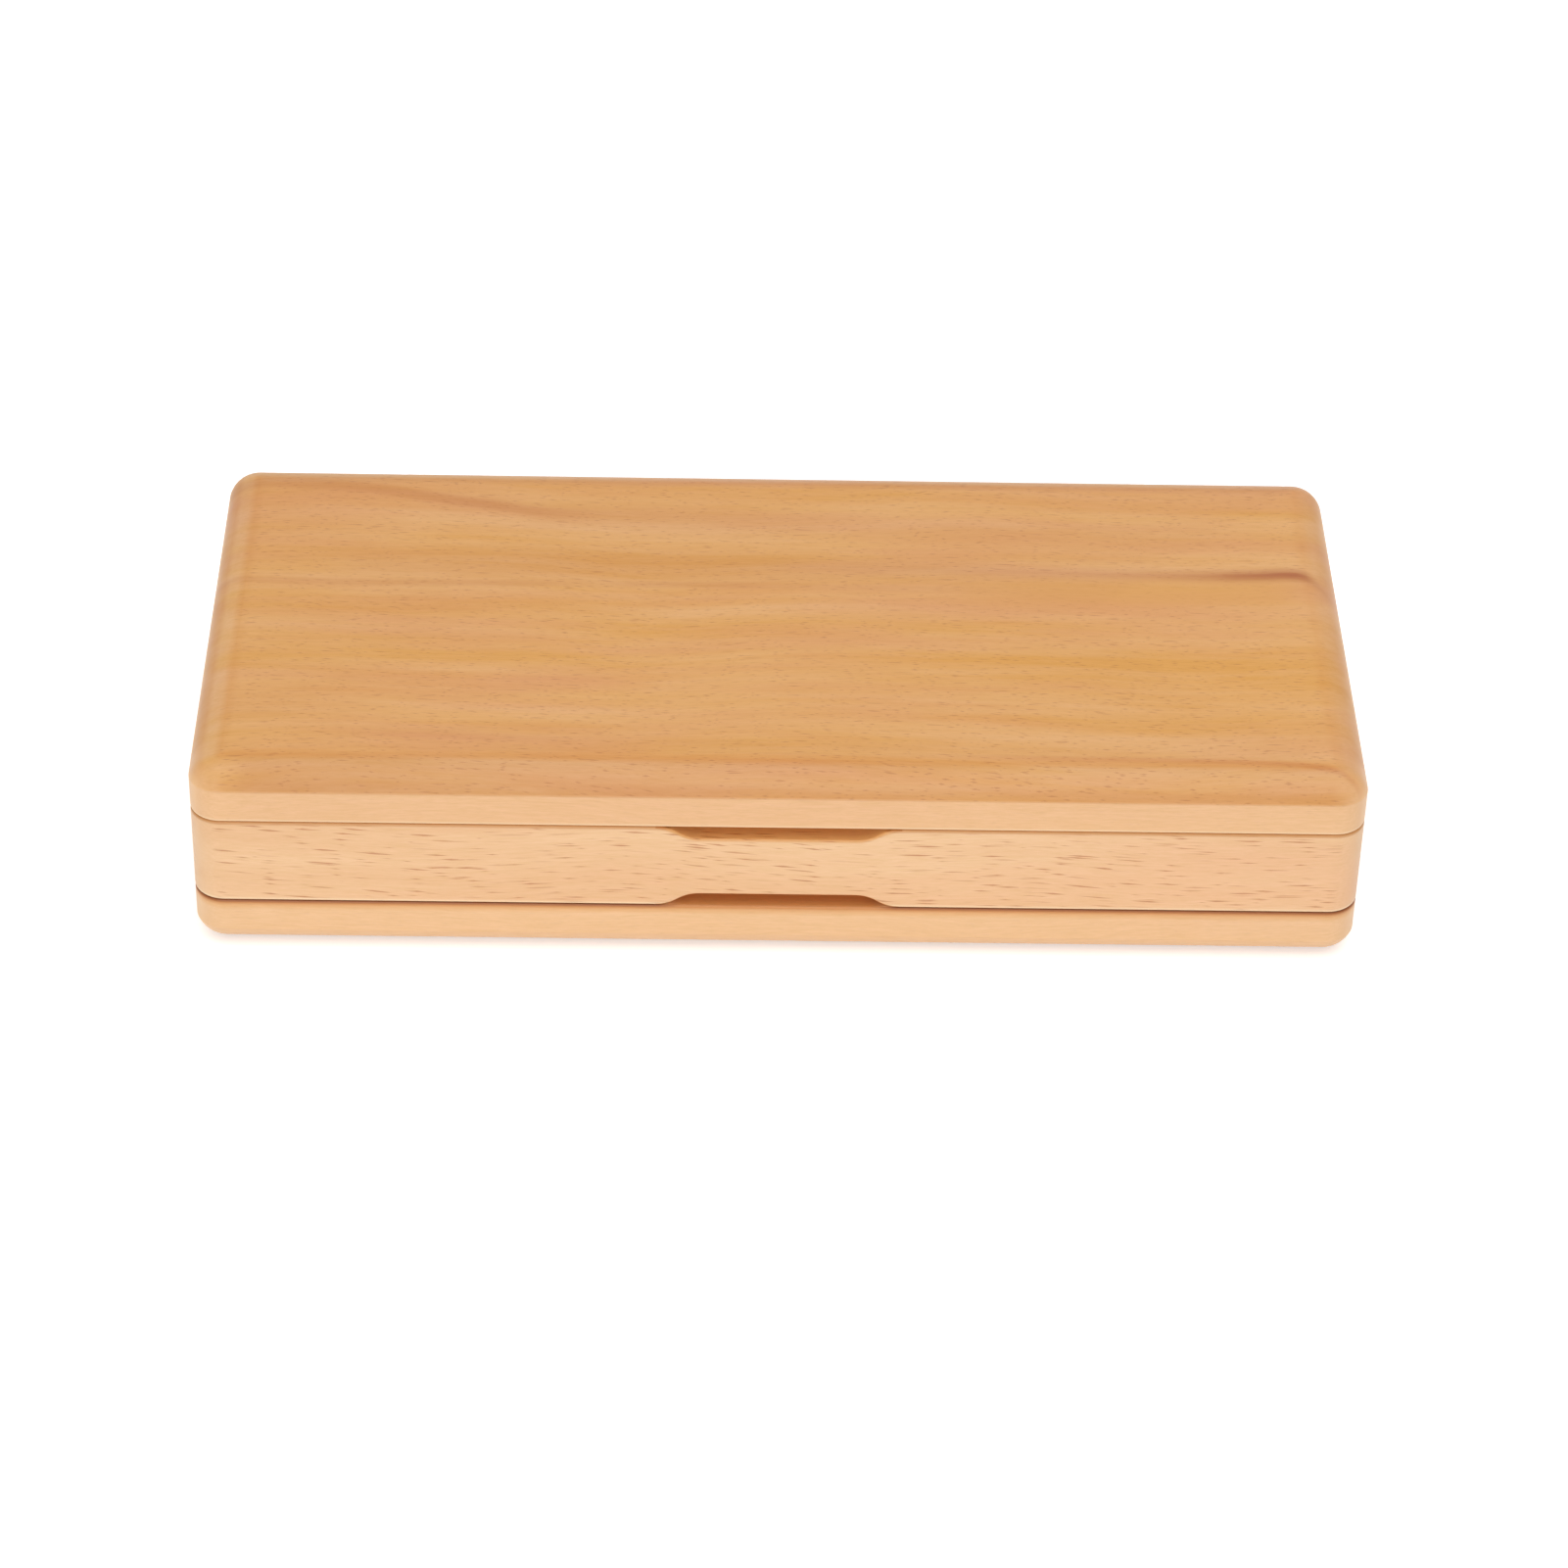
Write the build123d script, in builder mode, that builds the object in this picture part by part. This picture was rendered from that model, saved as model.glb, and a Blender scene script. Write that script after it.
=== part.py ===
from build123d import *
import os
from math import cos, radians, sin, tan

# Oboe reed case that opens on both faces. Millimetres, Z up, X along the case, front at -Y.
# The origin is the centre of the flat face that the case stands on.

# Overall form
case_length = 240.0
case_depth = 115.0
middle_height = 20.0
corner_radius = 6.5
edge_round = 0.5
seam_gap = 0.1

# Lid: an upright edge, then a convex border that rises to the flat field
lid_edge_height = 7.5
border_rise = 5.0
border_width = 8.5
border_start_share = 0.2

# Trays in the middle and the hollow in each lid
wall = 9.0
pocket_corner_radius = 5.0
tray_depth = 8.5
lid_hollow_depth = 8.0

# Finger scoop in the middle's front, at each seam
scoop_length = 50.0
scoop_height = 2.9
scoop_end = 9.0
scoop_depth = 5.5
scoop_back_round = 2.0

# Peg bar and its pegs
bar_width = 11.0
bar_drop = 0.3
bar_fit = 0.2
bar_round = 0.8
peg_pitch = 10.8
peg_end_space = 8.0
peg_radius = 2.2
peg_reach = 12.0
peg_tenon_radius = 1.6
peg_seat = 7.0
peg_seat_slack = 0.5
peg_tip_bevel = 0.8
peg_height = 5.0
peg_fit = 0.03

# Velvet linings
lining_thickness = 1.0
lining_fit = 0.3

# Disc magnets in the front corners
magnet_radius = 3.0
magnet_thickness = 2.0
magnet_inset = 6.8
magnet_sink = 0.1
magnet_fit = 0.05
magnet_edge = 0.2

# Stop hinges: thick leaves whose bevelled heels meet at the end of the swing
hinge_inset = 42.0
hinge_length = 26.0
leaf_depth = 7.0
leaf_thickness = 2.4
leaf_corner_radius = 1.5
mortise_fit = 0.1
knuckle_count = 5
knuckle_radius = 1.5
knuckle_clearance = 0.15
knuckle_side_gap = 0.15
pin_radius = 0.8
pin_press_gap = 0.01
pin_running_gap = 0.05
stop_angle = 95.0
stop_slack_angle = 0.5

# Countersunk screws, two in each leaf
screw_spacing = 15.0
screw_setback = 4.2
screw_length = 6.5
screw_point = 1.5
screw_shank_radius = 1.0
screw_head_radius = 1.9
screw_head_angle = 90.0
screw_sink = 0.1
screw_slot_width = 0.5
screw_slot_depth = 0.5
screw_fit = 0.03
screw_hole_slack = 0.4

# How far a cut runs past the surface, and how near counts as touching when picking edges
overrun = 2.0
touch = 0.01

# Levels and places worked out from the sizes above
lid_height = lid_edge_height + border_rise
middle_base = lid_height + seam_gap
middle_top = middle_base + middle_height
top_lid_base = middle_top + seam_gap
case_height = top_lid_base + lid_height
crease_level = top_lid_base + lid_edge_height
half_gap = seam_gap / 2
hinge_level = middle_top + half_gap
tray_floor = middle_top - tray_depth
half_length = case_length / 2
half_depth = case_depth / 2
pocket_length = case_length - 2 * wall
pocket_width = case_depth - 2 * wall
bar_front = half_depth - wall - bar_fit - bar_width
hinge_xs = (-half_length + hinge_inset, half_length - hinge_inset)
segment = hinge_length / knuckle_count
head_slope = tan(radians(screw_head_angle / 2))
mid_plane = Plane.XY.offset(case_height / 2)

# The two mating faces of the middle, each facing out of its tray, with +Y towards the hinges
top_face = Plane(origin=(0, 0, middle_top), x_dir=(1, 0, 0), z_dir=(0, 0, 1))
bottom_face = Plane(origin=(0, 0, middle_base), x_dir=(-1, 0, 0), z_dir=(0, 0, -1))
magnet_spots = [
    (side * (half_length - magnet_inset), -half_depth + magnet_inset) for side in (-1, 1)
]
screw_spots = [
    (x + side * screw_spacing / 2, half_depth - screw_setback) for x in hinge_xs for side in (-1, 1)
]
peg_count = int((pocket_length - 2 * peg_end_space) / peg_pitch) + 1
peg_xs = [(i - (peg_count - 1) / 2) * peg_pitch for i in range(peg_count)]


def pocket_outline(gap):
    """Sketch of the tray's outline, drawn in by a gap."""
    with BuildSketch() as outline:
        RectangleRounded(pocket_length, pocket_width, pocket_corner_radius)
        offset(amount=-gap, kind=Kind.INTERSECTION)
    return outline.sketch


def border_line():
    """Curve of the lid's border, from the crease up to the field, with the region above it."""
    start = (border_start_share * border_width, border_rise)
    end = (border_width, border_rise)
    Bezier((0, 0), start, end)
    Polyline(
        end,
        (border_width, border_rise + overrun),
        (-overrun, border_rise + overrun),
        (-overrun, 0),
        (0, 0),
    )


def mirrored(source):
    """The piece's twin on the other face of the case."""
    with BuildPart() as twin:
        mirror(source.part, about=mid_plane)
    return twin


# Finger scoop: S-curved ends seen from the front, and a floor that curves up at the back
with BuildPart() as scoop_cutter:
    with BuildSketch(Plane(origin=(0, -half_depth, middle_top), x_dir=(1, 0, 0), z_dir=(0, -1, 0))):
        with BuildLine():
            outer = (-scoop_length / 2, 0)
            turn = (-scoop_length / 2 + scoop_end / 2, -scoop_height / 2)
            inner = (-scoop_length / 2 + scoop_end, -scoop_height)
            shoulder = TangentArc(outer, turn, tangent=(1, 0))
            TangentArc(turn, inner, tangent=shoulder % 1)
            Line(inner, (0, -scoop_height))
            Polyline(outer, (-scoop_length / 2, overrun), (0, overrun))
            mirror(about=Plane.YZ)
        make_face()
    extrude(amount=-scoop_depth)
    extrude(scoop_cutter.faces().sort_by(Axis.Y)[0], amount=overrun)
    with BuildSketch(Plane(origin=(0, -half_depth, middle_top), x_dir=(0, 1, 0), z_dir=(1, 0, 0))) as cove:
        with Locations((-overrun, -scoop_height)):
            Rectangle(
                scoop_depth + overrun, scoop_height + overrun, align=(Align.MIN, Align.MIN)
            )
        fillet(cove.vertices().sort_by(Axis.Y)[-2:].sort_by(Axis.Z)[0], scoop_back_round)
    extrude(amount=scoop_length, both=True, mode=Mode.INTERSECT)

# Middle body: block with both finger scoops, its outer edges eased, then the trays and seats
with BuildPart() as middle_body:
    with BuildSketch(Plane.XY.offset(middle_base)):
        RectangleRounded(case_length, case_depth, corner_radius)
    extrude(amount=middle_height)
    add(scoop_cutter.part, mode=Mode.SUBTRACT)
    add(scoop_cutter.part.mirror(mid_plane), mode=Mode.SUBTRACT)

    flat_edges = middle_body.edges().filter_by(Axis.Z, reverse=True)
    inside_scoops = flat_edges.filter_by_position(
        Axis.Y, -half_depth + touch, -half_depth + scoop_depth + touch
    ).filter_by_position(Axis.X, -scoop_length / 2 - touch, scoop_length / 2 + touch)
    fillet(flat_edges - inside_scoops, edge_round)

    for face in (top_face, bottom_face):
        with BuildSketch(face):
            add(pocket_outline(0))
        extrude(amount=-tray_depth, mode=Mode.SUBTRACT)
        with BuildSketch(face):
            with Locations(*[(x, half_depth) for x in hinge_xs]):
                Rectangle(
                    hinge_length + 2 * mortise_fit,
                    2 * (leaf_depth + mortise_fit),
                )
        extrude(amount=-leaf_thickness, mode=Mode.SUBTRACT)
        with Locations(*[face * Location((x, y, 0)) for x, y in magnet_spots]):
            Hole(magnet_radius + magnet_fit, magnet_thickness + magnet_sink)
        with Locations(*[face * Location((x, y, -leaf_thickness)) for x, y in screw_spots]):
            Hole(
                screw_shank_radius + screw_fit,
                screw_length - leaf_thickness + screw_hole_slack,
            )

# Top lid: board with a convex border round its field, a hollow inside and seats for the fittings
with BuildPart() as top_lid:
    with BuildSketch(Plane.XY.offset(top_lid_base)):
        RectangleRounded(case_length, case_depth, corner_radius)
    extrude(amount=lid_height)
    fillet(top_lid.faces().sort_by(Axis.Z)[0].edges(), edge_round)

    side_planes = (
        Plane(origin=(0, -half_depth, crease_level), x_dir=(0, 1, 0), z_dir=(1, 0, 0)),
        Plane(origin=(0, half_depth, crease_level), x_dir=(0, -1, 0), z_dir=(-1, 0, 0)),
        Plane(origin=(-half_length, 0, crease_level), x_dir=(1, 0, 0), z_dir=(0, -1, 0)),
        Plane(origin=(half_length, 0, crease_level), x_dir=(-1, 0, 0), z_dir=(0, 1, 0)),
    )
    for plane in side_planes:
        with BuildSketch(plane):
            with BuildLine():
                border_line()
            make_face()
        extrude(amount=half_length + overrun, both=True, mode=Mode.SUBTRACT)

    for angle in (0, 90, 180, 270):
        along_x = half_length - corner_radius
        along_y = half_depth - corner_radius
        centre_x = along_x if angle in (0, 270) else -along_x
        centre_y = along_y if angle in (0, 90) else -along_y
        out_x, out_y = cos(radians(angle)), sin(radians(angle))
        corner_plane = Plane(
            origin=(centre_x + corner_radius * out_x, centre_y + corner_radius * out_y, crease_level),
            x_dir=(-out_x, -out_y, 0),
            z_dir=(-out_y, out_x, 0),
        )
        with BuildSketch(corner_plane):
            with BuildLine():
                border_line()
            make_face()
            with Locations((-overrun, 0)):
                Rectangle(
                    corner_radius + overrun,
                    border_rise + overrun,
                    align=(Align.MIN, Align.MIN),
                    mode=Mode.INTERSECT,
                )
        revolve(
            axis=Axis((centre_x, centre_y, 0), (0, 0, 1)),
            revolution_arc=90,
            mode=Mode.SUBTRACT,
        )

    lid_face = Plane(origin=(0, 0, top_lid_base), x_dir=(-1, 0, 0), z_dir=(0, 0, -1))
    with BuildSketch(lid_face):
        add(pocket_outline(0))
    extrude(amount=-lid_hollow_depth, mode=Mode.SUBTRACT)
    with BuildSketch(lid_face):
        with Locations(*[(x, half_depth) for x in hinge_xs]):
            Rectangle(hinge_length + 2 * mortise_fit, 2 * (leaf_depth + mortise_fit))
    extrude(amount=-leaf_thickness, mode=Mode.SUBTRACT)
    with Locations(*[lid_face * Location((x, y, 0)) for x, y in magnet_spots]):
        Hole(magnet_radius + magnet_fit, magnet_thickness + magnet_sink)
    with Locations(*[lid_face * Location((x, y, -leaf_thickness)) for x, y in screw_spots]):
        Hole(
            screw_shank_radius + screw_fit,
            screw_length - leaf_thickness + screw_hole_slack,
        )

# Peg bar: strip glued along the tray's back wall, bored for the pegs
with BuildPart() as top_peg_bar:
    with BuildSketch(Plane.XY.offset(tray_floor)):
        add(pocket_outline(bar_fit))
        with Locations((0, bar_front)):
            Rectangle(
                case_length, case_depth, align=(Align.CENTER, Align.MIN), mode=Mode.INTERSECT
            )
    extrude(amount=tray_depth - bar_drop)
    fillet(top_peg_bar.faces().sort_by(Axis.Z)[-1].edges(), bar_round)
    bar_face = Plane(
        origin=(0, bar_front, tray_floor + peg_height), x_dir=(1, 0, 0), z_dir=(0, -1, 0)
    )
    with Locations(*[bar_face * Location((x, 0, 0)) for x in peg_xs]):
        Hole(peg_tenon_radius + peg_fit, peg_seat + peg_seat_slack)

# One turned peg: its shoulder sits on the bar and its thinner tenon in the bore, then the row of them
with BuildPart() as peg:
    with BuildSketch(bar_face):
        Circle(peg_radius)
    extrude(amount=peg_reach)
    chamfer(peg.edges().group_by(Axis.Y)[0], peg_tip_bevel)
    with BuildSketch(bar_face):
        Circle(peg_tenon_radius)
    extrude(amount=-peg_seat)

with BuildPart() as top_pegs:
    with Locations(*[(x, 0, 0) for x in peg_xs]):
        add(peg.part)

# Velvet pads on the tray's floor and in the lid
with BuildPart() as top_tray_lining:
    with BuildSketch(Plane.XY.offset(tray_floor)):
        add(pocket_outline(lining_fit))
        with Locations((0, bar_front - lining_fit)):
            Rectangle(
                case_length, case_depth, align=(Align.CENTER, Align.MAX), mode=Mode.INTERSECT
            )
    extrude(amount=lining_thickness)

with BuildPart() as top_lid_lining:
    with BuildSketch(Plane.XY.offset(top_lid_base + lid_hollow_depth)):
        add(pocket_outline(lining_fit))
    extrude(amount=-lining_thickness)


def disc_magnet(spot, base_level):
    """Disc magnet at the bottom of its seat, with eased rims."""
    with BuildPart() as magnet:
        with BuildSketch(Plane.XY.offset(base_level)):
            with Locations(spot):
                Circle(magnet_radius)
        extrude(amount=magnet_thickness)
        chamfer(magnet.edges(), magnet_edge)
    return magnet


def hinge_leaf(x, turned):
    """One leaf with its knuckles. Turned is -1 for the leaf in the lid, 1 for the one in the middle."""
    bevel = tan(radians((stop_angle + stop_slack_angle) / 2))
    bottom = half_gap + leaf_thickness
    section = Plane(origin=(x, half_depth, hinge_level), x_dir=(0, 1, 0), z_dir=(turned, 0, 0))
    own = [i for i in range(knuckle_count) if i % 2 == (0 if turned == 1 else 1)]
    others = [i for i in range(knuckle_count) if i not in own]
    with BuildPart() as leaf:
        with BuildSketch(section):
            Polygon(
                (-leaf_depth, -half_gap),
                (half_gap / bevel, -half_gap),
                (bottom / bevel, -bottom),
                (-leaf_depth, -bottom),
                align=None,
            )
        extrude(amount=hinge_length / 2, both=True)
        fillet(leaf.edges().filter_by(Axis.Z).group_by(Axis.Y)[0], leaf_corner_radius)
        for i in others:
            with BuildSketch(section.offset((i - (knuckle_count - 1) / 2) * segment)):
                Circle(knuckle_radius + knuckle_clearance)
            extrude(amount=segment / 2, both=True, mode=Mode.SUBTRACT)
        for i in own:
            with BuildSketch(section.offset((i - (knuckle_count - 1) / 2) * segment)):
                Circle(knuckle_radius)
            extrude(amount=segment / 2 - knuckle_side_gap, both=True)
        with BuildSketch(section):
            Circle(pin_radius + (pin_press_gap if turned == 1 else pin_running_gap))
        extrude(amount=hinge_length, both=True, mode=Mode.SUBTRACT)
        seat = Plane(
            origin=(x, half_depth - screw_setback, hinge_level - turned * half_gap),
            x_dir=(turned, 0, 0),
            z_dir=(0, 0, turned),
        )
        with Locations(*[seat * Location((side * screw_spacing / 2, 0, 0)) for side in (-1, 1)]):
            CounterSinkHole(
                screw_shank_radius + screw_fit,
                screw_head_radius + screw_sink * head_slope + screw_fit,
                leaf_thickness + overrun,
                counter_sink_angle=screw_head_angle,
            )
    return leaf


def hinge_pin(x):
    """Pin through all the knuckles, held tight by the leaf on the middle."""
    with BuildPart() as pin:
        with BuildSketch(Plane(origin=(x, half_depth, hinge_level), z_dir=(1, 0, 0))):
            Circle(pin_radius)
        extrude(amount=hinge_length / 2 - knuckle_side_gap, both=True)
    return pin


# One slotted screw, pointing down, with the top of its head in the plane z = 0
with BuildPart() as screw:
    with BuildSketch(Plane.XZ):
        neck = (screw_head_radius - screw_shank_radius) / head_slope
        Polygon(
            (0, 0),
            (screw_head_radius, 0),
            (screw_shank_radius, -neck),
            (screw_shank_radius, -screw_length + screw_point),
            (0, -screw_length),
            align=None,
        )
    revolve(axis=Axis.Z)
    with BuildSketch():
        Rectangle(2 * (screw_head_radius + overrun), screw_slot_width)
    extrude(amount=-screw_slot_depth, mode=Mode.SUBTRACT)


def screw_group(face):
    """The screws of one mating face."""
    with BuildPart() as group:
        with Locations(*[face * Location((x, y, -screw_sink)) for x, y in screw_spots]):
            add(screw.part)
    return group


with BuildPart() as middle_hinge_screws:
    add(screw_group(top_face).part)
    add(screw_group(bottom_face).part)
top_lid_hinge_screws = screw_group(lid_face)

# The pieces of the upper half, and their twins in the lower half
pieces = {"middle_body": middle_body, "middle_hinge_screws": middle_hinge_screws}
upper = {
    "lid": top_lid,
    "peg_bar": top_peg_bar,
    "pegs": top_pegs,
    "tray_lining": top_tray_lining,
    "lid_lining": top_lid_lining,
    "lid_hinge_screws": top_lid_hinge_screws,
}
for side, spot, x in zip(("left", "right"), magnet_spots, hinge_xs):
    body_seat = middle_top - magnet_sink - magnet_thickness
    upper[side + "_body_magnet"] = disc_magnet(spot, body_seat)
    upper[side + "_lid_magnet"] = disc_magnet(spot, top_lid_base + magnet_sink)
    upper[side + "_hinge_body_leaf"] = hinge_leaf(x, 1)
    upper[side + "_hinge_lid_leaf"] = hinge_leaf(x, -1)
    upper[side + "_hinge_pin"] = hinge_pin(x)
for name, piece in upper.items():
    pieces["top_" + name] = piece
    pieces["bottom_" + name] = mirrored(piece)

os.makedirs("parts", exist_ok=True)
for name, piece in pieces.items():
    piece.part.label = name
    export_step(piece.part, "parts/" + name + ".step")
print(len(pieces), "pieces, case height", round(case_height, 2))
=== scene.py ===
# %% [markdown]
# # Dressing a wooden reed case
#
# The case comes from the construction model as a set of plain pieces, each in its true place. This lesson
# gives them their looks: lacquered beech, turned pegs, velvet pads, brass hinges with slotted screws and
# nickel-plated magnets. They stay where they are, and new pieces go where the construction says.

# %% Load the pieces and measure the case
import math

import bpy
import bmesh
from mathutils import Matrix, Vector


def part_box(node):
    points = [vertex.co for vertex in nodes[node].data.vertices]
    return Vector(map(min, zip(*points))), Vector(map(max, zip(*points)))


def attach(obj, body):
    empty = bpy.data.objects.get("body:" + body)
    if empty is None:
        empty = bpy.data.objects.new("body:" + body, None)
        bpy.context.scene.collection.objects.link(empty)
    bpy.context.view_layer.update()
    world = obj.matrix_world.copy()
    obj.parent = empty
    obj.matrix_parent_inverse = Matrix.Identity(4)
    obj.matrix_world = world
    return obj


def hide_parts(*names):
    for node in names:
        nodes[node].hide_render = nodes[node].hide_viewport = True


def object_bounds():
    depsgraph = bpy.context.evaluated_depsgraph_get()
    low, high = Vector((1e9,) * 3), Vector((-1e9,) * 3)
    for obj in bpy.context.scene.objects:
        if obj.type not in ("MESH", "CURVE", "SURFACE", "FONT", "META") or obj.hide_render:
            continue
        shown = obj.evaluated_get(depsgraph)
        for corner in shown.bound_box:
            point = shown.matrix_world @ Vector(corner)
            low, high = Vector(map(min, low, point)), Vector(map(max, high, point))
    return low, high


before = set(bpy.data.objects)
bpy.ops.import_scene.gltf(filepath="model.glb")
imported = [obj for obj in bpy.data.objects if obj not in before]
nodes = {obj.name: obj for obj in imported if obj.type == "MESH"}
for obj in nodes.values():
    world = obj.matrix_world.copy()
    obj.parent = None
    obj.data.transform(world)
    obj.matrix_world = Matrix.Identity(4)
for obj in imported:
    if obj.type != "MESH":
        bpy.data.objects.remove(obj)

MM = 0.001
cad_box = [list(corner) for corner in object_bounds()]
case_low, case_high = (Vector(corner) / MM for corner in cad_box)
mid_level = (case_low.z + case_high.z) / 2
print("pieces:", len(nodes), "case from", tuple(case_low), "to", tuple(case_high), "middle level", mid_level)

# %% [markdown]
# ## Three small helpers
#
# A colour is given as an sRGB hex value, as a screen shows it, but the renderer adds light in linear values.
# One function turns the first into the second. Another wires a node's inputs, and the third adds a node to
# any tree, so each material below reads as a list of what it is made of. An input takes a value, an output,
# or a whole node, which stands for its first output in use.

# %% Colour and node helpers
def linear(hex_value):
    """Linear RGBA of an sRGB hex colour such as E0AB72, by the standard's formula."""
    channels = [int(hex_value[i : i + 2], 16) / 255 for i in (0, 2, 4)]
    return [c / 12.92 if c <= 0.04045 else ((c + 0.055) / 1.055) ** 2.4 for c in channels] + [1.0]


def wire(tree, node, sockets):
    """Gives a node's inputs their values or links."""
    for socket, value in sockets.items():
        if isinstance(value, bpy.types.Node):
            value = next(output for output in value.outputs if output.enabled)
        if isinstance(value, bpy.types.NodeSocket):
            tree.links.new(value, node.inputs[socket])
        else:
            node.inputs[socket].default_value = value


def add(tree, kind, sockets={}, stops=(), points=(), **settings):
    """A new node with its inputs, the stops of its ramp or the points of its curve, and its settings."""
    made = tree.nodes.new(kind)
    for name, value in settings.items():
        setattr(made, name, value)
    if stops:
        ramp = made.color_ramp.elements
        ramp.remove(ramp[1])
        for i, (place, shade) in enumerate(stops):
            stop = ramp.new(place) if i else ramp[0]
            stop.position, stop.color = place, (*shade, 1)
    if points:
        line = made.mapping.curves[0].points
        for spot in points[1:-1]:
            line.new(*spot)
        line[0].location, line[len(line) - 1].location = points[0], points[-1]
        made.mapping.update()
    wire(tree, made, sockets)
    return made


# A Mix node for colours, and one that tints its first colour with its second
COLOURS = {"data_type": "RGBA"}
TINTING = {"data_type": "RGBA", "blend_type": "MULTIPLY"}
print("helpers ready: white is", linear("FFFFFF"))

# %% [markdown]
# ## The camera
#
# The photograph was taken from the front and above, with a long lens. Its place was found by fitting the
# case's own edges, so the camera is set by three angles, a focal length in pixels and the case's place in
# front of the lens. The rows of the turning matrix are the picture's right, down and forward directions.
# The Standard view shows a colour as it was chosen.

# %% Camera at the photograph's angle
picture_side = 1601
focal_pixels = 4975.23
yaw, pitch, roll = math.radians(-1.33), math.radians(36.8345), math.radians(-1.5089)
crease_level = 40.2
crease_centre_in_view = Vector((-1.288, -31.409, 1032.091))

level_right = Vector((math.cos(yaw), math.sin(yaw), 0))
forward = Vector((-math.sin(yaw) * math.cos(pitch), math.cos(yaw) * math.cos(pitch), -math.sin(pitch)))
level_down = forward.cross(level_right)
right = math.cos(roll) * level_right + math.sin(roll) * level_down
down = -math.sin(roll) * level_right + math.cos(roll) * level_down
turn = Matrix((right, down, forward))
eye = (Vector((0, 0, crease_level)) - turn.transposed() @ crease_centre_in_view) * MM

lens = bpy.data.cameras.new("photo_camera")
lens.sensor_width = 36.0
lens.lens = focal_pixels * lens.sensor_width / picture_side
lens.clip_start, lens.clip_end = 0.01, 20.0
camera = bpy.data.objects.new("photo_camera", lens)
camera.matrix_world = Matrix.Translation(eye) @ Matrix((right, -down, -forward)).transposed().to_4x4()
bpy.context.scene.collection.objects.link(camera)
bpy.context.scene.camera = camera
bpy.context.scene.view_settings.view_transform = "Standard"
print("camera at", tuple(round(x, 4) for x in eye), "metres, lens", round(lens.lens, 2), "mm")

# %% [markdown]
# ## Floor, world and lamps
#
# The photograph is a product shot on white. The world gives plain light from all round, a broad lamp hangs
# above and a weaker one stands in front, as in a small studio. The white of the background comes from what
# the camera, glossy and transmitted rays are shown, and not from more light on the wood. The floor keeps the
# soft shadow of the case. The lamps reach less of it far off, so its own white grows there.

# %% Plain pale floor, world and two soft lamps
world_level = 0.42
near_fill, far_fill = 0.45, 0.66
near_floor, far_floor, floor_radius = 0.6, 2.2, 4.0
floor_drop = 0.05 * MM
lamp_aim = Vector((0, 0, 0.02))
lamp_plan = {
    "overhead_softbox": ((0.10, -0.20, 1.30), 1.70, 12.6),
    "front_softbox": ((-0.35, -1.55, 0.60), 1.00, 8.0),
}


def seen_directly(tree):
    """1 for rays that show the background itself: camera, glossy and transmission rays."""
    path = add(tree, "ShaderNodeLightPath")
    glossy = add(tree, "ShaderNodeMath", {0: path.outputs["Is Camera Ray"], 1: path.outputs["Is Glossy Ray"]})
    return add(
        tree, "ShaderNodeMath", {0: glossy, 1: path.outputs["Is Transmission Ray"]}, use_clamp=True
    )


world = bpy.data.worlds.new("plain_studio")
world.use_nodes = True
tree = world.node_tree
tree.nodes.clear()
level = add(tree, "ShaderNodeMapRange", {"Value": seen_directly(tree), "To Min": world_level, "To Max": 1.0})
sky = add(tree, "ShaderNodeBackground", {"Color": linear("FFFFFF"), "Strength": level})
add(tree, "ShaderNodeOutputWorld", {"Surface": sky})
bpy.context.scene.world = world

paper = bpy.data.materials.new("matt_white_paper_floor")
paper.use_nodes = True
tree = paper.node_tree
tree.nodes.clear()
matt = add(tree, "ShaderNodeBsdfDiffuse", {"Color": linear("F4F3F1")})
spot = add(tree, "ShaderNodeTexCoord").outputs["Object"]
far_off = add(tree, "ShaderNodeVectorMath", {0: spot}, operation="LENGTH")
far_range = {"From Min": near_floor, "From Max": far_floor, "To Min": near_fill, "To Max": far_fill}
fill = add(tree, "ShaderNodeMapRange", {"Value": far_off, **far_range})
fill_level = add(tree, "ShaderNodeMath", {0: seen_directly(tree), 1: fill}, operation="MULTIPLY")
fill_light = add(tree, "ShaderNodeEmission", {"Color": linear("FFFFFF"), "Strength": fill_level})
both = add(tree, "ShaderNodeAddShader", {0: matt, 1: fill_light})
add(tree, "ShaderNodeOutputMaterial", {"Surface": both})

floor_mesh = bpy.data.meshes.new("paper_floor")
disc = bmesh.new()
bmesh.ops.create_circle(disc, cap_ends=True, segments=96, radius=floor_radius)
disc.to_mesh(floor_mesh)
disc.free()
floor = bpy.data.objects.new("paper_floor", floor_mesh)
floor_mesh.transform(Matrix.Translation((0, 0, -floor_drop)))
floor_mesh.materials.append(paper)
bpy.context.scene.collection.objects.link(floor)

for name, (place, side, power) in lamp_plan.items():
    lamp = bpy.data.lights.new(name, "AREA")
    lamp.shape, lamp.size, lamp.energy = "SQUARE", side, power
    stand = bpy.data.objects.new(name, lamp)
    stand.location = place
    stand.rotation_euler = (lamp_aim - Vector(place)).to_track_quat("-Z", "Y").to_euler()
    bpy.context.scene.collection.objects.link(stand)
    print(name, "radiance", round(power / math.pi / side**2, 2))

# %% [markdown]
# ## The grain of beech
#
# Beech is a pale, even wood. Across the board run soft bands, lighter and darker, yellower and redder, that
# follow its growth. Over them lie fine fibres, and its rays show as short dark dashes, a few millimetres
# long and a third of a millimetre thick. A group holds these patterns once, in millimetres, and every beech
# board uses it with its own colours. Noise that is squeezed across the grain and left long along it looks
# like fibre. The dashes are the cells of a Voronoi pattern, stretched along the grain. Distance is measured
# in right-angled steps there, which makes a cell a rhombus with pointed ends, like a cut ray.

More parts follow.
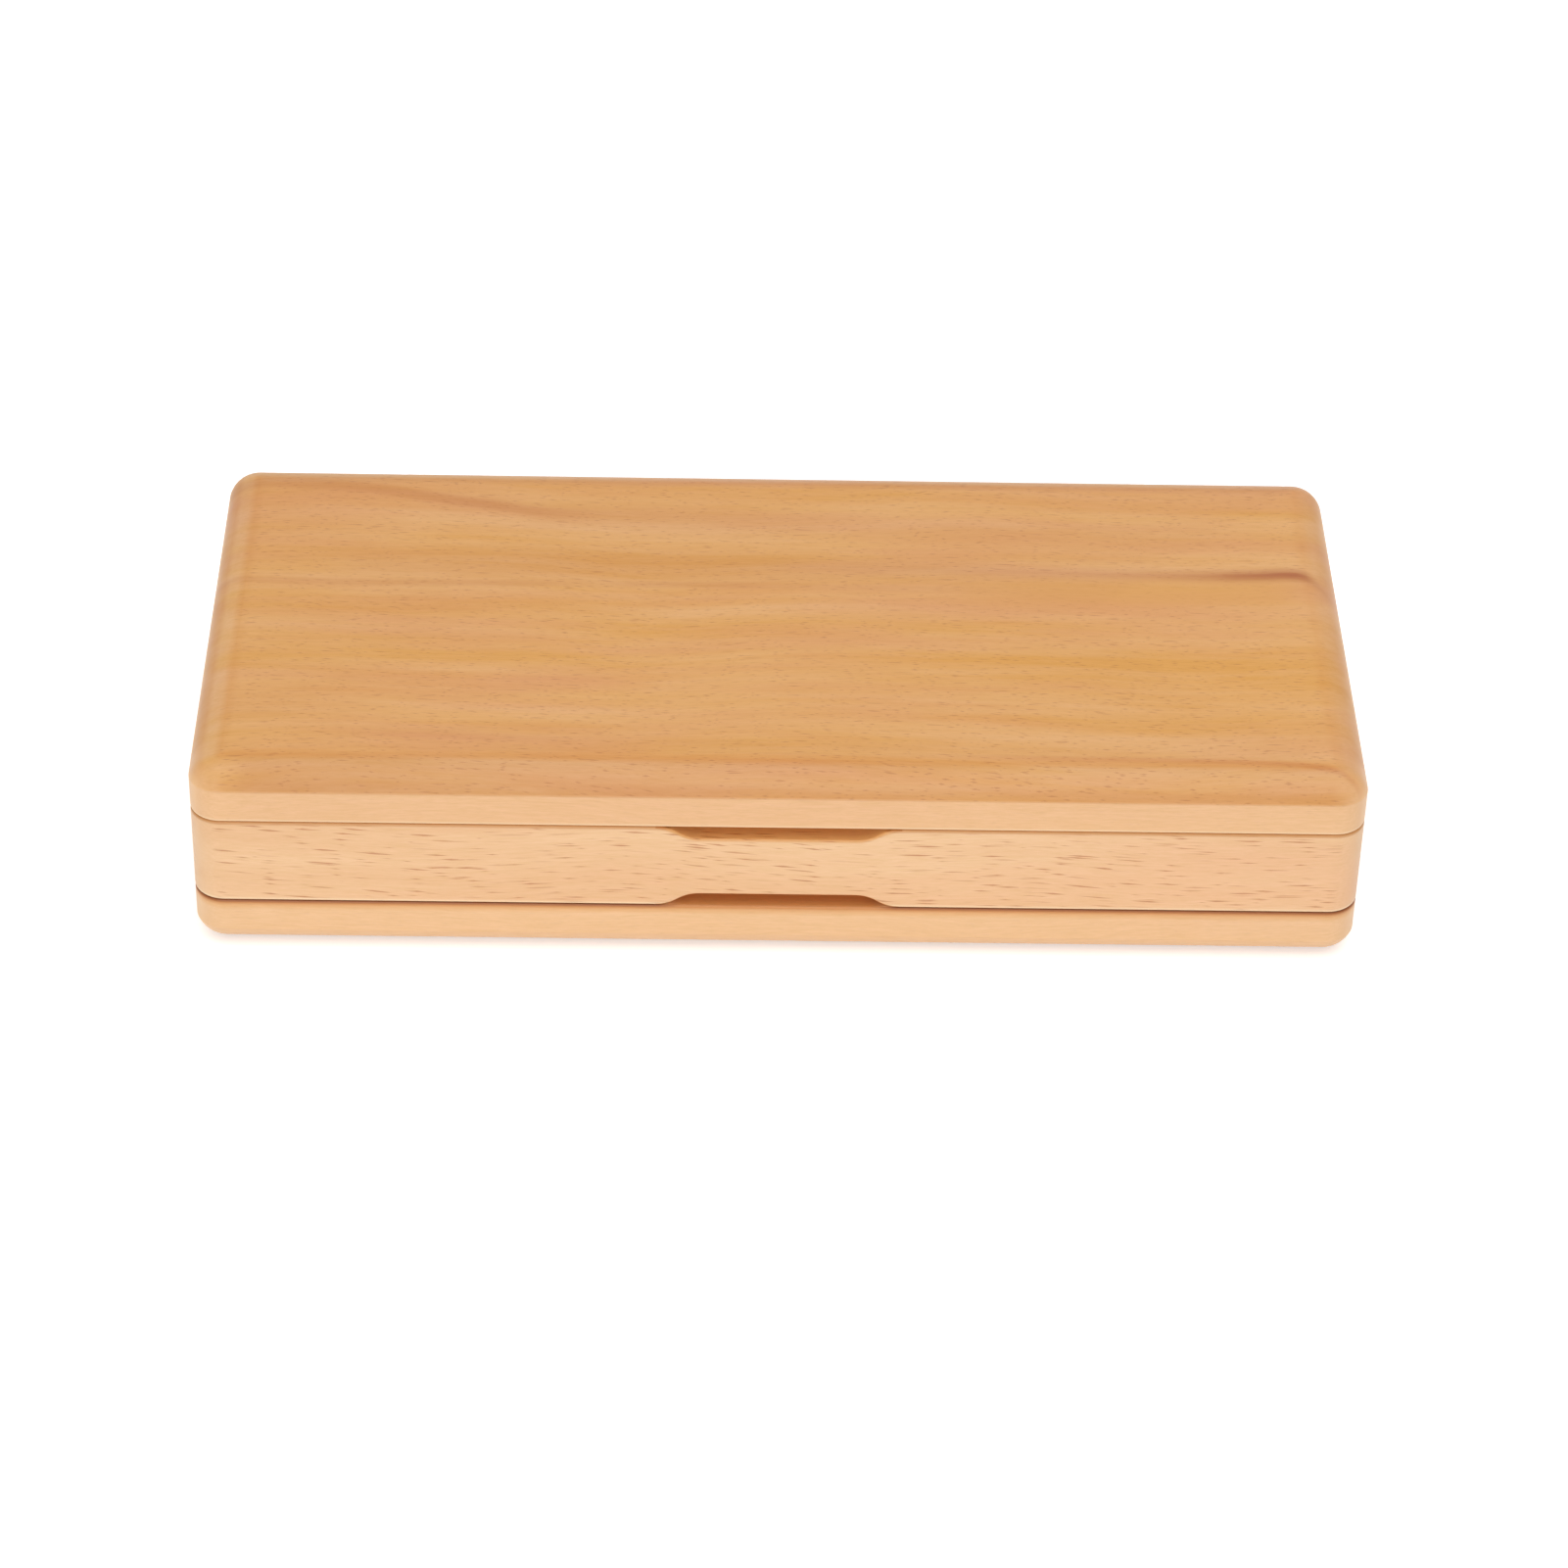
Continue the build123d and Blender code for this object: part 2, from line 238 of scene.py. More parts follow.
# %% Grain group, first part: the board's place in the log, its bands and its fibres
band_width, warmth_width, coarse_width, fine_width = 9, 15, 0.55, 0.28
grain = bpy.data.node_groups.new("beech_grain", "ShaderNodeTree")
for name in ("Place mm", "Facing", "Shift mm", "Dash cell mm"):
    grain.interface.new_socket(name, in_out="INPUT", socket_type="NodeSocketVector")
for name in ("Bands", "Warmth", "Fibres", "Dashes", "End grain"):
    grain.interface.new_socket(name, in_out="OUTPUT", socket_type="NodeSocketFloat")
source = add(grain, "NodeGroupInput").outputs

# Every board was cut from another place, and its grain wanders by a few millimetres
log = add(grain, "ShaderNodeVectorMath", {0: source["Place mm"], 1: source["Shift mm"]})
slow = add(grain, "ShaderNodeTexNoise", {"Vector": log, "Scale": 1 / 90, "Detail": 1.0}).outputs["Color"]
centred = add(grain, "ShaderNodeVectorMath", {0: slow, 1: (0.5, 0.5, 0.5)}, operation="SUBTRACT")
drift = add(grain, "ShaderNodeVectorMath", {0: centred, 1: (0, 12, 12)}, operation="MULTIPLY")
wood = add(grain, "ShaderNodeVectorMath", {0: log, 1: drift})


def squeezed_noise(place, width, length, detail, roughness=0.55):
    """Noise whose streaks are this wide and this long along the grain, in mm."""
    squeeze = (1 / length, 1 / width, 1 / width)
    squeezed = add(grain, "ShaderNodeVectorMath", {0: place, 1: squeeze}, operation="MULTIPLY")
    form = {"Vector": squeezed, "Scale": 1.0, "Detail": detail, "Roughness": roughness}
    return add(grain, "ShaderNodeTexNoise", form)


bands = squeezed_noise(wood, band_width, 150, 4.0, 0.6)
far_place = add(grain, "ShaderNodeVectorMath", {0: wood, 1: (310, 77, 41)})
warmth = squeezed_noise(far_place, warmth_width, 120, 3.0)
coarse_fibres = squeezed_noise(wood, coarse_width, 9, 3.0, 0.65)
fine_fibres = squeezed_noise(wood, fine_width, 2.5, 2.0, 0.6)
fibres = add(grain, "ShaderNodeMix", {0: 0.4, 2: coarse_fibres, 3: fine_fibres})
print("bands, warmth and two fibres are", band_width, warmth_width, coarse_width, fine_width, "mm wide")

# %% Grain group, second part: dashes on the long faces, rings and pores on the ends
dash_slant = math.radians(2.5)
ring_spacing, ring_drift, pore_spacing = 2.4, 9.0, 0.6
ring_levels = {"From Min": -0.4, "From Max": 1.0, "To Max": 0.16}
pore_levels = {"From Min": 0.4, "From Max": 0.15, "To Max": 0.25}

# A dash follows the height across an upright face, and the depth across a level one
facing = add(grain, "ShaderNodeSeparateXYZ", {0: source["Facing"]}).outputs
along, across, up = (add(grain, "ShaderNodeMath", {0: part}, operation="ABSOLUTE") for part in facing)
level_face = add(grain, "ShaderNodeMath", {0: up, 1: across}, operation="GREATER_THAN")
x, y, z = add(grain, "ShaderNodeSeparateXYZ", {0: wood}).outputs
side_step = add(grain, "ShaderNodeMix", {0: level_face, 2: z, 3: y})
dash_place = add(grain, "ShaderNodeCombineXYZ", {0: x, 1: side_step})
tilted = add(grain, "ShaderNodeVectorRotate", {"Vector": dash_place, "Angle": dash_slant})
sway = add(grain, "ShaderNodeTexNoise", {"Vector": tilted, "Scale": 1 / 7, "Detail": 1.0}).outputs["Color"]
swayed = add(grain, "ShaderNodeVectorMath", {0: sway, 1: (7, 0.4, 0)}, operation="MULTIPLY")
loose = add(grain, "ShaderNodeVectorMath", {0: tilted, 1: swayed})
cells = add(grain, "ShaderNodeVectorMath", {0: loose, 1: source["Dash cell mm"]}, operation="DIVIDE")
spots = add(
    grain,
    "ShaderNodeTexVoronoi",
    {"Vector": cells, "Scale": 1.0, "Randomness": 1.0},
    voronoi_dimensions="2D",
    distance="MANHATTAN",
)
# A cell's red and green follow where its mark lies, so only its blue says whether the mark is there
chance = add(grain, "ShaderNodeSeparateColor", {0: spots.outputs["Color"]}).outputs[2]
long_chance = add(grain, "ShaderNodeMath", {0: chance, 1: 17.0}, operation="MULTIPLY")
own_length = add(grain, "ShaderNodeMath", {0: long_chance}, operation="FRACT")
half_length = add(grain, "ShaderNodeMapRange", {"Value": own_length, "To Min": 0.16, "To Max": 0.40})
depth_in = add(grain, "ShaderNodeMath", {0: half_length, 1: spots}, operation="SUBTRACT")
lens_shape = add(grain, "ShaderNodeMapRange", {"Value": depth_in, "From Max": 0.14})
present = add(grain, "ShaderNodeMapRange", {"Value": chance, "From Min": 0.18, "From Max": 0.8})
marked = add(grain, "ShaderNodeMath", {0: lens_shape, 1: present}, operation="MULTIPLY")
on_long_faces = add(grain, "ShaderNodeMapRange", {"Value": along, "From Min": 0.30, "From Max": 0.05})
dashes = add(grain, "ShaderNodeMath", {0: marked, 1: on_long_faces}, operation="MULTIPLY")

# Rings round a pith below the board, no two alike, and pores as fine dots
pith = add(grain, "ShaderNodeVectorMath", {0: wood, 1: (0, 25, 95)})
flat_pith = add(grain, "ShaderNodeVectorMath", {0: pith, 1: (0, 1, 1)}, operation="MULTIPLY")
reach = add(grain, "ShaderNodeVectorMath", {0: flat_pith}, operation="LENGTH")
years = add(grain, "ShaderNodeTexNoise", {"Vector": flat_pith, "Scale": 1 / 24, "Detail": 1.0})
uneven = add(grain, "ShaderNodeMath", {0: years, 1: ring_drift, 2: reach}, operation="MULTIPLY_ADD")
ring_angle = add(grain, "ShaderNodeMath", {0: uneven, 1: 2 * math.pi / ring_spacing}, operation="MULTIPLY")
rings = add(grain, "ShaderNodeMath", {0: ring_angle}, operation="SINE")
ring_tone = add(grain, "ShaderNodeMapRange", {"Value": rings, **ring_levels})
pores = add(grain, "ShaderNodeTexVoronoi", {"Vector": source["Place mm"], "Scale": 1 / pore_spacing})
pore_dots = add(grain, "ShaderNodeMapRange", {"Value": pores, **pore_levels})
end_tone = add(grain, "ShaderNodeMath", {0: ring_tone, 1: pore_dots})
end_face = add(grain, "ShaderNodeMapRange", {"Value": along, "From Min": 0.85, "From Max": 0.98})
end_only = add(grain, "ShaderNodeMath", {0: end_tone, 1: end_face}, operation="MULTIPLY", use_clamp=True)
cut_across = add(grain, "ShaderNodeMapRange", {"Value": along, "From Min": 0.3, "From Max": 0.8})
even_fibres = add(grain, "ShaderNodeMix", {0: cut_across, 2: fibres, 3: 0.5})
add(
    grain,
    "NodeGroupOutput",
    {"Bands": bands, "Warmth": warmth, "Fibres": even_fibres, "Dashes": dashes, "End grain": end_only},
)
print("grain group has", len(grain.nodes), "nodes, with rings", ring_spacing, "mm apart")

# %% [markdown]
# ## Lacquered beech
#
# One function makes each beech finish from the grain group. The wood is light or dark with its bands,
# yellower or redder with a second set of bands, a little varied with its fibres and darker in its dashes. A
# thin satin lacquer gives an even, soft shine, a little rougher where the fibres stand.

# %% Functions for a new finish and for beech
# Noise seldom leaves this range
noise_range = {"From Min": 0.3, "From Max": 0.7}


def new_finish(name):
    """A material with its tree, its shader, the surface's direction and the place on the piece in mm."""
    made = bpy.data.materials.new(name)
    made.use_nodes = True
    tree = made.node_tree
    where = add(tree, "ShaderNodeTexCoord").outputs
    place = add(tree, "ShaderNodeVectorMath", {0: where["Object"], "Scale": 1 / MM}, operation="SCALE")
    return made, tree, tree.nodes["Principled BSDF"], where["Normal"], place


def fibre_tone(tree, fibres):
    """A tint from the fibres. A dark fibre is also a little yellower than a light one."""
    share = add(tree, "ShaderNodeMapRange", {"Value": fibres, **noise_range})
    light, dark = (1.05, 1.065, 1.14, 1), (0.95, 0.935, 0.86, 1)
    return add(tree, "ShaderNodeMix", {0: share, 6: light, 7: dark}, **COLOURS)


def beech(name, light, dark, warm, dash, shift, dash_cell, dash_depth=0.8):
    """A beech material. Returns it, its shader, colour and fibres, its place in mm and its direction."""
    made, tree, shader, facing, place = new_finish(name)
    pattern = add(
        tree,
        "ShaderNodeGroup",
        {"Place mm": place, "Facing": facing, "Shift mm": shift, "Dash cell mm": dash_cell},
        node_tree=grain,
    ).outputs
    band = add(tree, "ShaderNodeMapRange", {"Value": pattern["Bands"], "From Min": 0.33, "From Max": 0.67})
    rosy = add(tree, "ShaderNodeMapRange", {"Value": pattern["Warmth"], "From Min": 0.45, "From Max": 0.78})
    fibre = fibre_tone(tree, pattern["Fibres"])
    mark = add(tree, "ShaderNodeMath", {0: pattern["Dashes"], 1: dash_depth}, operation="MULTIPLY")
    colour = add(tree, "ShaderNodeMix", {0: band, 6: linear(light), 7: linear(dark)}, **COLOURS)
    colour = add(tree, "ShaderNodeMix", {0: rosy, 6: colour, 7: linear(warm)}, **COLOURS)
    colour = add(tree, "ShaderNodeMix", {0: 1.0, 6: colour, 7: fibre}, **TINTING)
    colour = add(tree, "ShaderNodeMix", {0: mark, 6: colour, 7: linear(dash)}, **COLOURS)
    colour = add(tree, "ShaderNodeMix", {0: pattern["End grain"], 6: colour, 7: linear(dash)}, **COLOURS)
    relief_form = {"Height": pattern["Fibres"], "Strength": 0.15, "Distance": 0.02 * MM}
    relief = add(tree, "ShaderNodeBump", relief_form)
    shine = {"Value": pattern["Fibres"], **noise_range, "To Min": 0.34, "To Max": 0.46}
    rough = add(tree, "ShaderNodeMapRange", shine)
    wire(tree, shader, {"Base Color": colour, "Normal": relief, "Roughness": rough, "IOR": 1.5})
    return made, shader, colour, pattern["Fibres"], place, facing


bar_beech, *_ = beech(
    "beech_strip_satin_lacquer", "EBBC8E", "E2AE7C", "E0A576", "C08050", (610, 33, 7), (9.0, 0.75, 1.0)
)
print("made", bar_beech.name)

# %% [markdown]
# ## Edges at the seams
#
# The boards were sanded together, so their edges are eased. The lower edge of a board is painted pale, a
# painted highlight where its eased edge catches light. The upper edge of the one below it is painted darker
# and more orange, painted shade in the seam under the board above. Both are drawn by the distance from the
# seam, in millimetres, as thin soft stripes.

# %% Helpers: a soft stripe, the upright faces and where several patterns overlap
def stripe(tree, height, sharp_side, soft_side):
    """1 at the first level, falling to 0 at the second."""
    levels = {"Value": height, "From Min": soft_side, "From Max": sharp_side}
    return add(tree, "ShaderNodeMapRange", levels, interpolation_type="SMOOTHSTEP")


def upright(tree, facing):
    """1 on upright and eased faces, 0 on the level ones."""
    up = add(tree, "ShaderNodeSeparateXYZ", {0: facing}).outputs[2]
    size = add(tree, "ShaderNodeMath", {0: up}, operation="ABSOLUTE")
    return add(tree, "ShaderNodeMapRange", {"Value": size, "From Min": 0.998, "From Max": 0.95})


def overlap(tree, *patterns):
    """1 where all these patterns are 1: their product."""
    total = patterns[0]
    for pattern in patterns[1:]:
        total = add(tree, "ShaderNodeMath", {0: total, 1: pattern}, operation="MULTIPLY")
    return total


# %% [markdown]
# ## The finger scoops
#
# The scoops are painted with the shade that falls in them and the orange of light bounced between their
# walls.
# In the upper one the floor is golden and its front edge is orange, and a little of that painted shade runs
# down the face below it. The lower one is painted browner, because it is cut into the underside and lies in
# deeper shade. Its edge in the front face is an S, which a smooth step copies: full height in the middle,
# nothing at the two ends.

# %% The finish of the middle, with painted light at its edges and painted shade in the scoops
middle_low, middle_high = (corner.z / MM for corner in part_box("middle_body"))
scoop_half, scoop_end, scoop_height, scoop_depth = 25.0, 9.0, 2.9, 5.5
# Depth over which the scoops' painted shade changes, how far it runs down the face, and a margin
tone_depth, shade_spread, scoop_margin = 4.5, 0.9, 0.1
# Painted light at the middle board's seams: a painted highlight on its lower eased edge, painted shade at the
# very bottom of that edge and along its top edge under the lid
middle_painted_rims = (
    (middle_low + 0.2, middle_low + 1.0, "FFE0B8"),
    (middle_low, middle_low + 0.35, "7C3C10"),
    (middle_high - 0.1, middle_high - 0.9, "C48A50"),
)
# Painted shade with the orange of bounced light in the upper and lower scoops, by depth from the front face
upper_scoop_painted_shade = (
    (0.00, (0.80, 0.62, 0.38)),
    (0.10, (0.92, 0.73, 0.45)),
    (0.35, (0.95, 0.79, 0.51)),
    (1.00, (0.95, 0.80, 0.52)),
)
lower_scoop_painted_shade = (
    (0.00, (0.92, 0.78, 0.58)),
    (0.35, (0.90, 0.68, 0.42)),
    (1.00, (0.82, 0.54, 0.28)),
)

middle_beech, shader, colour, _, place, facing = beech(
    "beech_middle_satin_lacquer", "EFC598", "E8B98A", "ECB98D", "AE5F2C", (0, 0, 0), (10.5, 0.66, 1.0), 0.62
)
tree = middle_beech.node_tree
x, y, height = add(tree, "ShaderNodeSeparateXYZ", {0: place}).outputs
on_sides = upright(tree, facing)
# The rims' painted highlight and painted shade go on the upright and eased faces only
for sharp_side, soft_side, rim in middle_painted_rims:
    painted_rim = overlap(tree, stripe(tree, height, sharp_side, soft_side), on_sides)
    colour = add(tree, "ShaderNodeMix", {0: painted_rim, 6: colour, 7: linear(rim)}, **COLOURS)

# How far a place lies from the case's middle, and from its front face
aside = add(tree, "ShaderNodeMath", {0: x}, operation="ABSOLUTE")
inward = add(tree, "ShaderNodeMath", {0: y, 1: case_low.y}, operation="SUBTRACT")
depth = add(tree, "ShaderNodeMapRange", {"Value": inward, "From Max": tone_depth})
# Painted shade in the scoops, by depth from the front face, with its own tones above and below the middle
above = add(tree, "ShaderNodeMath", {0: height, 1: mid_level}, operation="GREATER_THAN")
upper_scoop_shade = add(tree, "ShaderNodeValToRGB", {0: depth}, upper_scoop_painted_shade)
lower_scoop_shade = add(tree, "ShaderNodeValToRGB", {0: depth}, lower_scoop_painted_shade)
scoop_shade_tint = add(tree, "ShaderNodeMix", {0: above, 6: lower_scoop_shade, 7: upper_scoop_shade}, **COLOURS)
# The painted shade follows the scoop's S-shaped edge and runs a little down the front face below it
full = stripe(tree, aside, scoop_half - scoop_end, scoop_half)
own_edge = add(tree, "ShaderNodeMath", {0: full, 1: -scoop_height, 2: middle_high}, operation="MULTIPLY_ADD")
below_edge = add(tree, "ShaderNodeMath", {0: own_edge, 1: height}, operation="SUBTRACT")
spread = overlap(
    tree, stripe(tree, below_edge, 0.0, shade_spread), stripe(tree, aside, scoop_half - 1.5, scoop_half)
)
cut = add(tree, "ShaderNodeMath", {0: inward, 1: 0.03}, operation="GREATER_THAN")
near = add(tree, "ShaderNodeMath", {0: inward, 1: scoop_depth + scoop_margin}, operation="LESS_THAN")
between = add(tree, "ShaderNodeMath", {0: aside, 1: scoop_half + scoop_margin}, operation="LESS_THAN")
cut_faces = overlap(tree, cut, near, between)
front_face = add(tree, "ShaderNodeMath", {0: 1.0, 1: cut}, operation="SUBTRACT")
on_face = overlap(tree, front_face, spread, between)
scoop_shaded = add(tree, "ShaderNodeMath", {0: cut_faces, 1: on_face}, use_clamp=True)
deeper = add(tree, "ShaderNodeMix", {0: 1.0, 6: colour, 7: scoop_shade_tint}, **TINTING)
colour = add(tree, "ShaderNodeMix", {0: scoop_shaded, 6: colour, 7: deeper}, **COLOURS)
wire(tree, shader, {"Base Color": colour})
print("middle board from", middle_low, "to", middle_high, "mm, scoops", 2 * scoop_half, "mm long")

# %% [markdown]
# ## The lids' beech
#
# A lid is one wide board. Its broad face is honey-coloured and its upright edge is paler, partly as the
# wood's own tone and partly as painted light, since the upright faces catch more light. The routed border
# between them is painted with the light and shade of its rounding: a thin orange line of painted shade at the
# field and another above the crease, with a paler, rosier band of painted reflection of the overhead lamp
# between. Levels are measured from the middle of the case, so the field of either lid is as far from it as
# the other's. Each tone below comes at its share of the way from the crease to just past the field, or from
# the seam up the edge.

# %% Levels and tones of a lid
crease_step = crease_level - mid_level
field_step = case_high.z - mid_level
seam_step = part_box("top_lid")[0].z / MM - mid_level
mitre = case_high.x + case_low.y
mitre_blend, edge_blend = 1.5, 0.8
corner_sharp, corner_soft, corner_rise = 2.0, 8.5, 6.0
# Height of the painted highlight on the upper lid's lower edge, and of the painted shade on the lower lid's
# upper edge
rim_highlight_height, seam_height = 0.9, 2.4
# Painted light of the front border's rounding: an orange line of painted shade above the crease, a paler band
# of painted reflection of the overhead lamp, and an orange line of painted shade at the field
border_painted_light = (
    (0.00, (0.835, 0.755, 0.63)),
    (0.12, (0.82, 0.73, 0.60)),
    (0.30, (0.82, 0.74, 0.66)),
    (0.44, (0.86, 0.83, 0.88)),
    (0.84, (0.86, 0.82, 0.84)),
    (0.89, (0.855, 0.72, 0.535)),
    (0.925, (1.00, 1.00, 1.00)),
)
# At the two ends the border has its own painted light: a painted highlight at the outer edge, a band of
# painted shade, a paler painted band and a thin orange line of painted shade at the field
left_border_painted_light = (
    (0.00, (1.06, 1.12, 1.28)),
    (0.16, (0.95, 0.92, 0.92)),
    (0.32, (0.85, 0.73, 0.60)),
    (0.62, (0.86, 0.76, 0.64)),
    (0.74, (0.93, 0.93, 1.00)),
    (0.84, (0.93, 0.92, 0.98)),
    (0.89, (0.88, 0.78, 0.62)),
    (0.94, (1.00, 1.00, 1.00)),
)
right_border_painted_light = (
    (0.00, (1.05, 1.10, 1.25)),
    (0.16, (0.95, 0.89, 0.84)),
    (0.32, (0.89, 0.78, 0.64)),
    (0.62, (0.89, 0.79, 0.67)),
    (0.80, (0.91, 0.84, 0.78)),
    (0.89, (0.92, 0.83, 0.70)),
    (0.94, (1.00, 1.00, 1.00)),
)
# Painted shade on the lower lid's upper edge, darkest at the seam under the middle board
seam_painted_shade = (
    (0.00, (0.28, 0.11, 0.02)),
    (0.12, (0.42, 0.21, 0.07)),
    (0.28, (0.74, 0.51, 0.31)),
    (0.50, (0.92, 0.80, 0.64)),
    (1.00, (1.00, 1.00, 1.00)),
)
# Painted shade on the lower lid's edge where it shows through the lower scoop
scoop_edge_painted_shade = (
    (0.00, (0.68, 0.43, 0.22)),
    (0.20, (0.72, 0.47, 0.26)),
    (0.45, (0.90, 0.78, 0.62)),
    (1.00, (1.00, 1.00, 1.00)),
)
print("crease, field and seam steps", crease_step, field_step, seam_step)

# %% Function for a lid's finish
def lid_beech(name, shift, upper, streaks=()):
    """The beech of a lid: honey field, routed border and pale upright edge with their painted light, and the
    seam's edge with a painted highlight on the upper lid and painted shade on the lower.
    """
    made, shader, colour, fibres, place, facing = beech(
        name, "E5B37B", "DCA14C", "DA9A66", "A5602C", shift, (3.4, 0.55, 1.0), 0.4
    )
    tree = made.node_tree
    x, y, z = add(tree, "ShaderNodeSeparateXYZ", {0: place}).outputs
    for streak_form in streaks:
        colour = streak(tree, colour, x, y, *streak_form)

    # The border, painted with the light and shade of its rounding, with its own tones at the two ends
    height = add(tree, "ShaderNodeMath", {0: z, 1: mid_level}, operation="SUBTRACT")
    step, reach_x, reach_y = (
        add(tree, "ShaderNodeMath", {0: value}, operation="ABSOLUTE") for value in (height, x, y)
    )
    rise = {"Value": step, "From Min": crease_step, "From Max": field_step + 0.5}
    share = add(tree, "ShaderNodeMapRange", rise)
    front_border_light, left_border_light, right_border_light = (
        add(tree, "ShaderNodeValToRGB", {0: share}, tones)
        for tones in (border_painted_light, left_border_painted_light, right_border_painted_light)
    )
    at_right = add(tree, "ShaderNodeMath", {0: x, 1: 0.0}, operation="GREATER_THAN")
    end_tone = add(tree, "ShaderNodeMix", {0: at_right, 6: left_border_light, 7: right_border_light}, **COLOURS)
    to_end = add(tree, "ShaderNodeMath", {0: reach_x, 1: reach_y}, operation="SUBTRACT")
    at_end = stripe(tree, to_end, mitre + mitre_blend, mitre - mitre_blend)
    tone = add(tree, "ShaderNodeMix", {0: at_end, 6: front_border_light, 7: end_tone}, **COLOURS)
    colour = add(tree, "ShaderNodeMix", {0: 1.0, 6: colour, 7: tone}, **TINTING)

    # The pale upright edge, partly the wood's own paler tone and partly painted light on the upright faces.
    # At the two front corners a painted highlight reaches higher up the border.
    pale_tint = linear("F3C698" if upper else "F7CEA1")
    pale = add(tree, "ShaderNodeMix", {0: 0.72, 6: colour, 7: pale_tint}, **COLOURS)
    pale = add(tree, "ShaderNodeMix", {0: 1.0, 6: pale, 7: fibre_tone(tree, fibres)}, **TINTING)
    pale_to = crease_step - 0.45 if upper else crease_step + 3.2
    edge = stripe(tree, step, pale_to, pale_to + edge_blend)
    colour = add(tree, "ShaderNodeMix", {0: edge, 6: colour, 7: pale}, **COLOURS)
    corner_highlight = overlap(
        tree,
        stripe(tree, reach_x, case_high.x - corner_sharp, case_high.x - corner_soft),
        stripe(tree, y, case_low.y + 8.5, case_low.y + 13.5),
        stripe(tree, step, crease_step, crease_step + corner_rise),
        0.75,
    )
    colour = add(tree, "ShaderNodeMix", {0: corner_highlight, 6: colour, 7: pale}, **COLOURS)

    # The edge at the seam: a painted highlight on the upper lid, painted shade on the lower one
    on_sides = upright(tree, facing)
    from_seam = add(tree, "ShaderNodeMath", {0: step, 1: seam_step}, operation="SUBTRACT")
    if upper:
        # Painted highlight on the eased lower edge
        painted_rim = overlap(tree, stripe(tree, from_seam, 0.0, rim_highlight_height), on_sides)
        colour = add(tree, "ShaderNodeMix", {0: painted_rim, 6: colour, 7: linear("FFE2B8")}, **COLOURS)
    else:
        # Painted shade below the seam
        share = add(tree, "ShaderNodeMapRange", {"Value": from_seam, "From Max": seam_height})
        seam_shade = add(tree, "ShaderNodeValToRGB", {0: share}, seam_painted_shade)
        # Painted shade on the same edge inside the lower scoop
        scoop_edge_shade = add(tree, "ShaderNodeValToRGB", {0: share}, scoop_edge_painted_shade)
        by_scoop = stripe(tree, reach_x, scoop_half - 6.0, scoop_half)
        edge_tone = add(tree, "ShaderNodeMix", {0: by_scoop, 6: seam_shade, 7: scoop_edge_shade}, **COLOURS)
        darker = add(tree, "ShaderNodeMix", {0: 1.0, 6: colour, 7: edge_tone}, **TINTING)
        colour = add(tree, "ShaderNodeMix", {0: on_sides, 6: colour, 7: darker}, **COLOURS)
        # Painted shade on the level face under the scoop, where the middle board hangs over it
        inward = add(tree, "ShaderNodeMath", {0: y, 1: case_low.y}, operation="SUBTRACT")
        level_face = add(tree, "ShaderNodeMath", {0: 1.0, 1: on_sides}, operation="SUBTRACT")
        scoop_floor_shade = overlap(
            tree,
            stripe(tree, from_seam, 0.0, 0.3),
            by_scoop,
            stripe(tree, inward, 3.5, scoop_depth),
            level_face,
        )
        darker = add(tree, "ShaderNodeMix", {0: 1.0, 6: colour, 7: (0.84, 0.60, 0.36, 1)}, **TINTING)
        colour = add(tree, "ShaderNodeMix", {0: scoop_floor_shade, 6: colour, 7: darker}, **COLOURS)
    wire(tree, shader, {"Base Color": colour})
    return made


# %% [markdown]
# ## Streaks in the upper board
#
# The upper lid's board has natural marks: a reddish streak that slants across its back left, one that
# hooks into its right end, and faint bands. One more line is painted shade along the edge of the field,
# towards the right corner. Each is a path drawn by one Float Curve, how strong it is along the way by a
# second, and how it fades to each side by a third.

# %% Function for a streak, the streaks, and the two lids
streak_x, streak_y = 120.0, 60.0


def streak(tree, colour, x, y, tint, path, strength, width, fade):
    """The colour with a streak laid over it. Path points are in mm, and width is that of its soft side."""
    way = add(tree, "ShaderNodeMapRange", {"Value": x, "From Min": -streak_x, "From Max": streak_x})
    spots = [((px + streak_x) / (2 * streak_x), (py + streak_y) / (2 * streak_y)) for px, py in path]
    powers = [((px + streak_x) / (2 * streak_x), value) for px, value in strength]
    line = add(tree, "ShaderNodeFloatCurve", {"Value": way}, points=spots)
    centre = add(tree, "ShaderNodeMapRange", {"Value": line, "To Min": -streak_y, "To Max": streak_y})
    aside = add(tree, "ShaderNodeMath", {0: y, 1: centre}, operation="SUBTRACT")
    across = add(tree, "ShaderNodeMapRange", {"Value": aside, "From Min": -width, "From Max": width})
    body = add(tree, "ShaderNodeFloatCurve", {"Value": across}, points=fade)
    power = add(tree, "ShaderNodeFloatCurve", {"Value": way}, points=powers)
    amount = add(tree, "ShaderNodeMath", {0: body, 1: power}, operation="MULTIPLY", use_clamp=True)
    return add(tree, "ShaderNodeMix", {0: amount, 6: colour, 7: linear(tint)}, **COLOURS)


soft = ((0, 0), (0.25, 0.12), (0.5, 1.0), (0.75, 0.12), (1, 0))
knot_side = (
    (0, 0), (0.03, 0), (0.26, 0.37), (0.42, 0.9), (0.53, 1.0), (0.64, 0.6), (0.76, 0.35), (0.92, 0), (1, 0)
)
broad = ((0, 0), (0.2, 0.5), (0.4, 1.0), (0.6, 1.0), (0.8, 0.5), (1, 0))
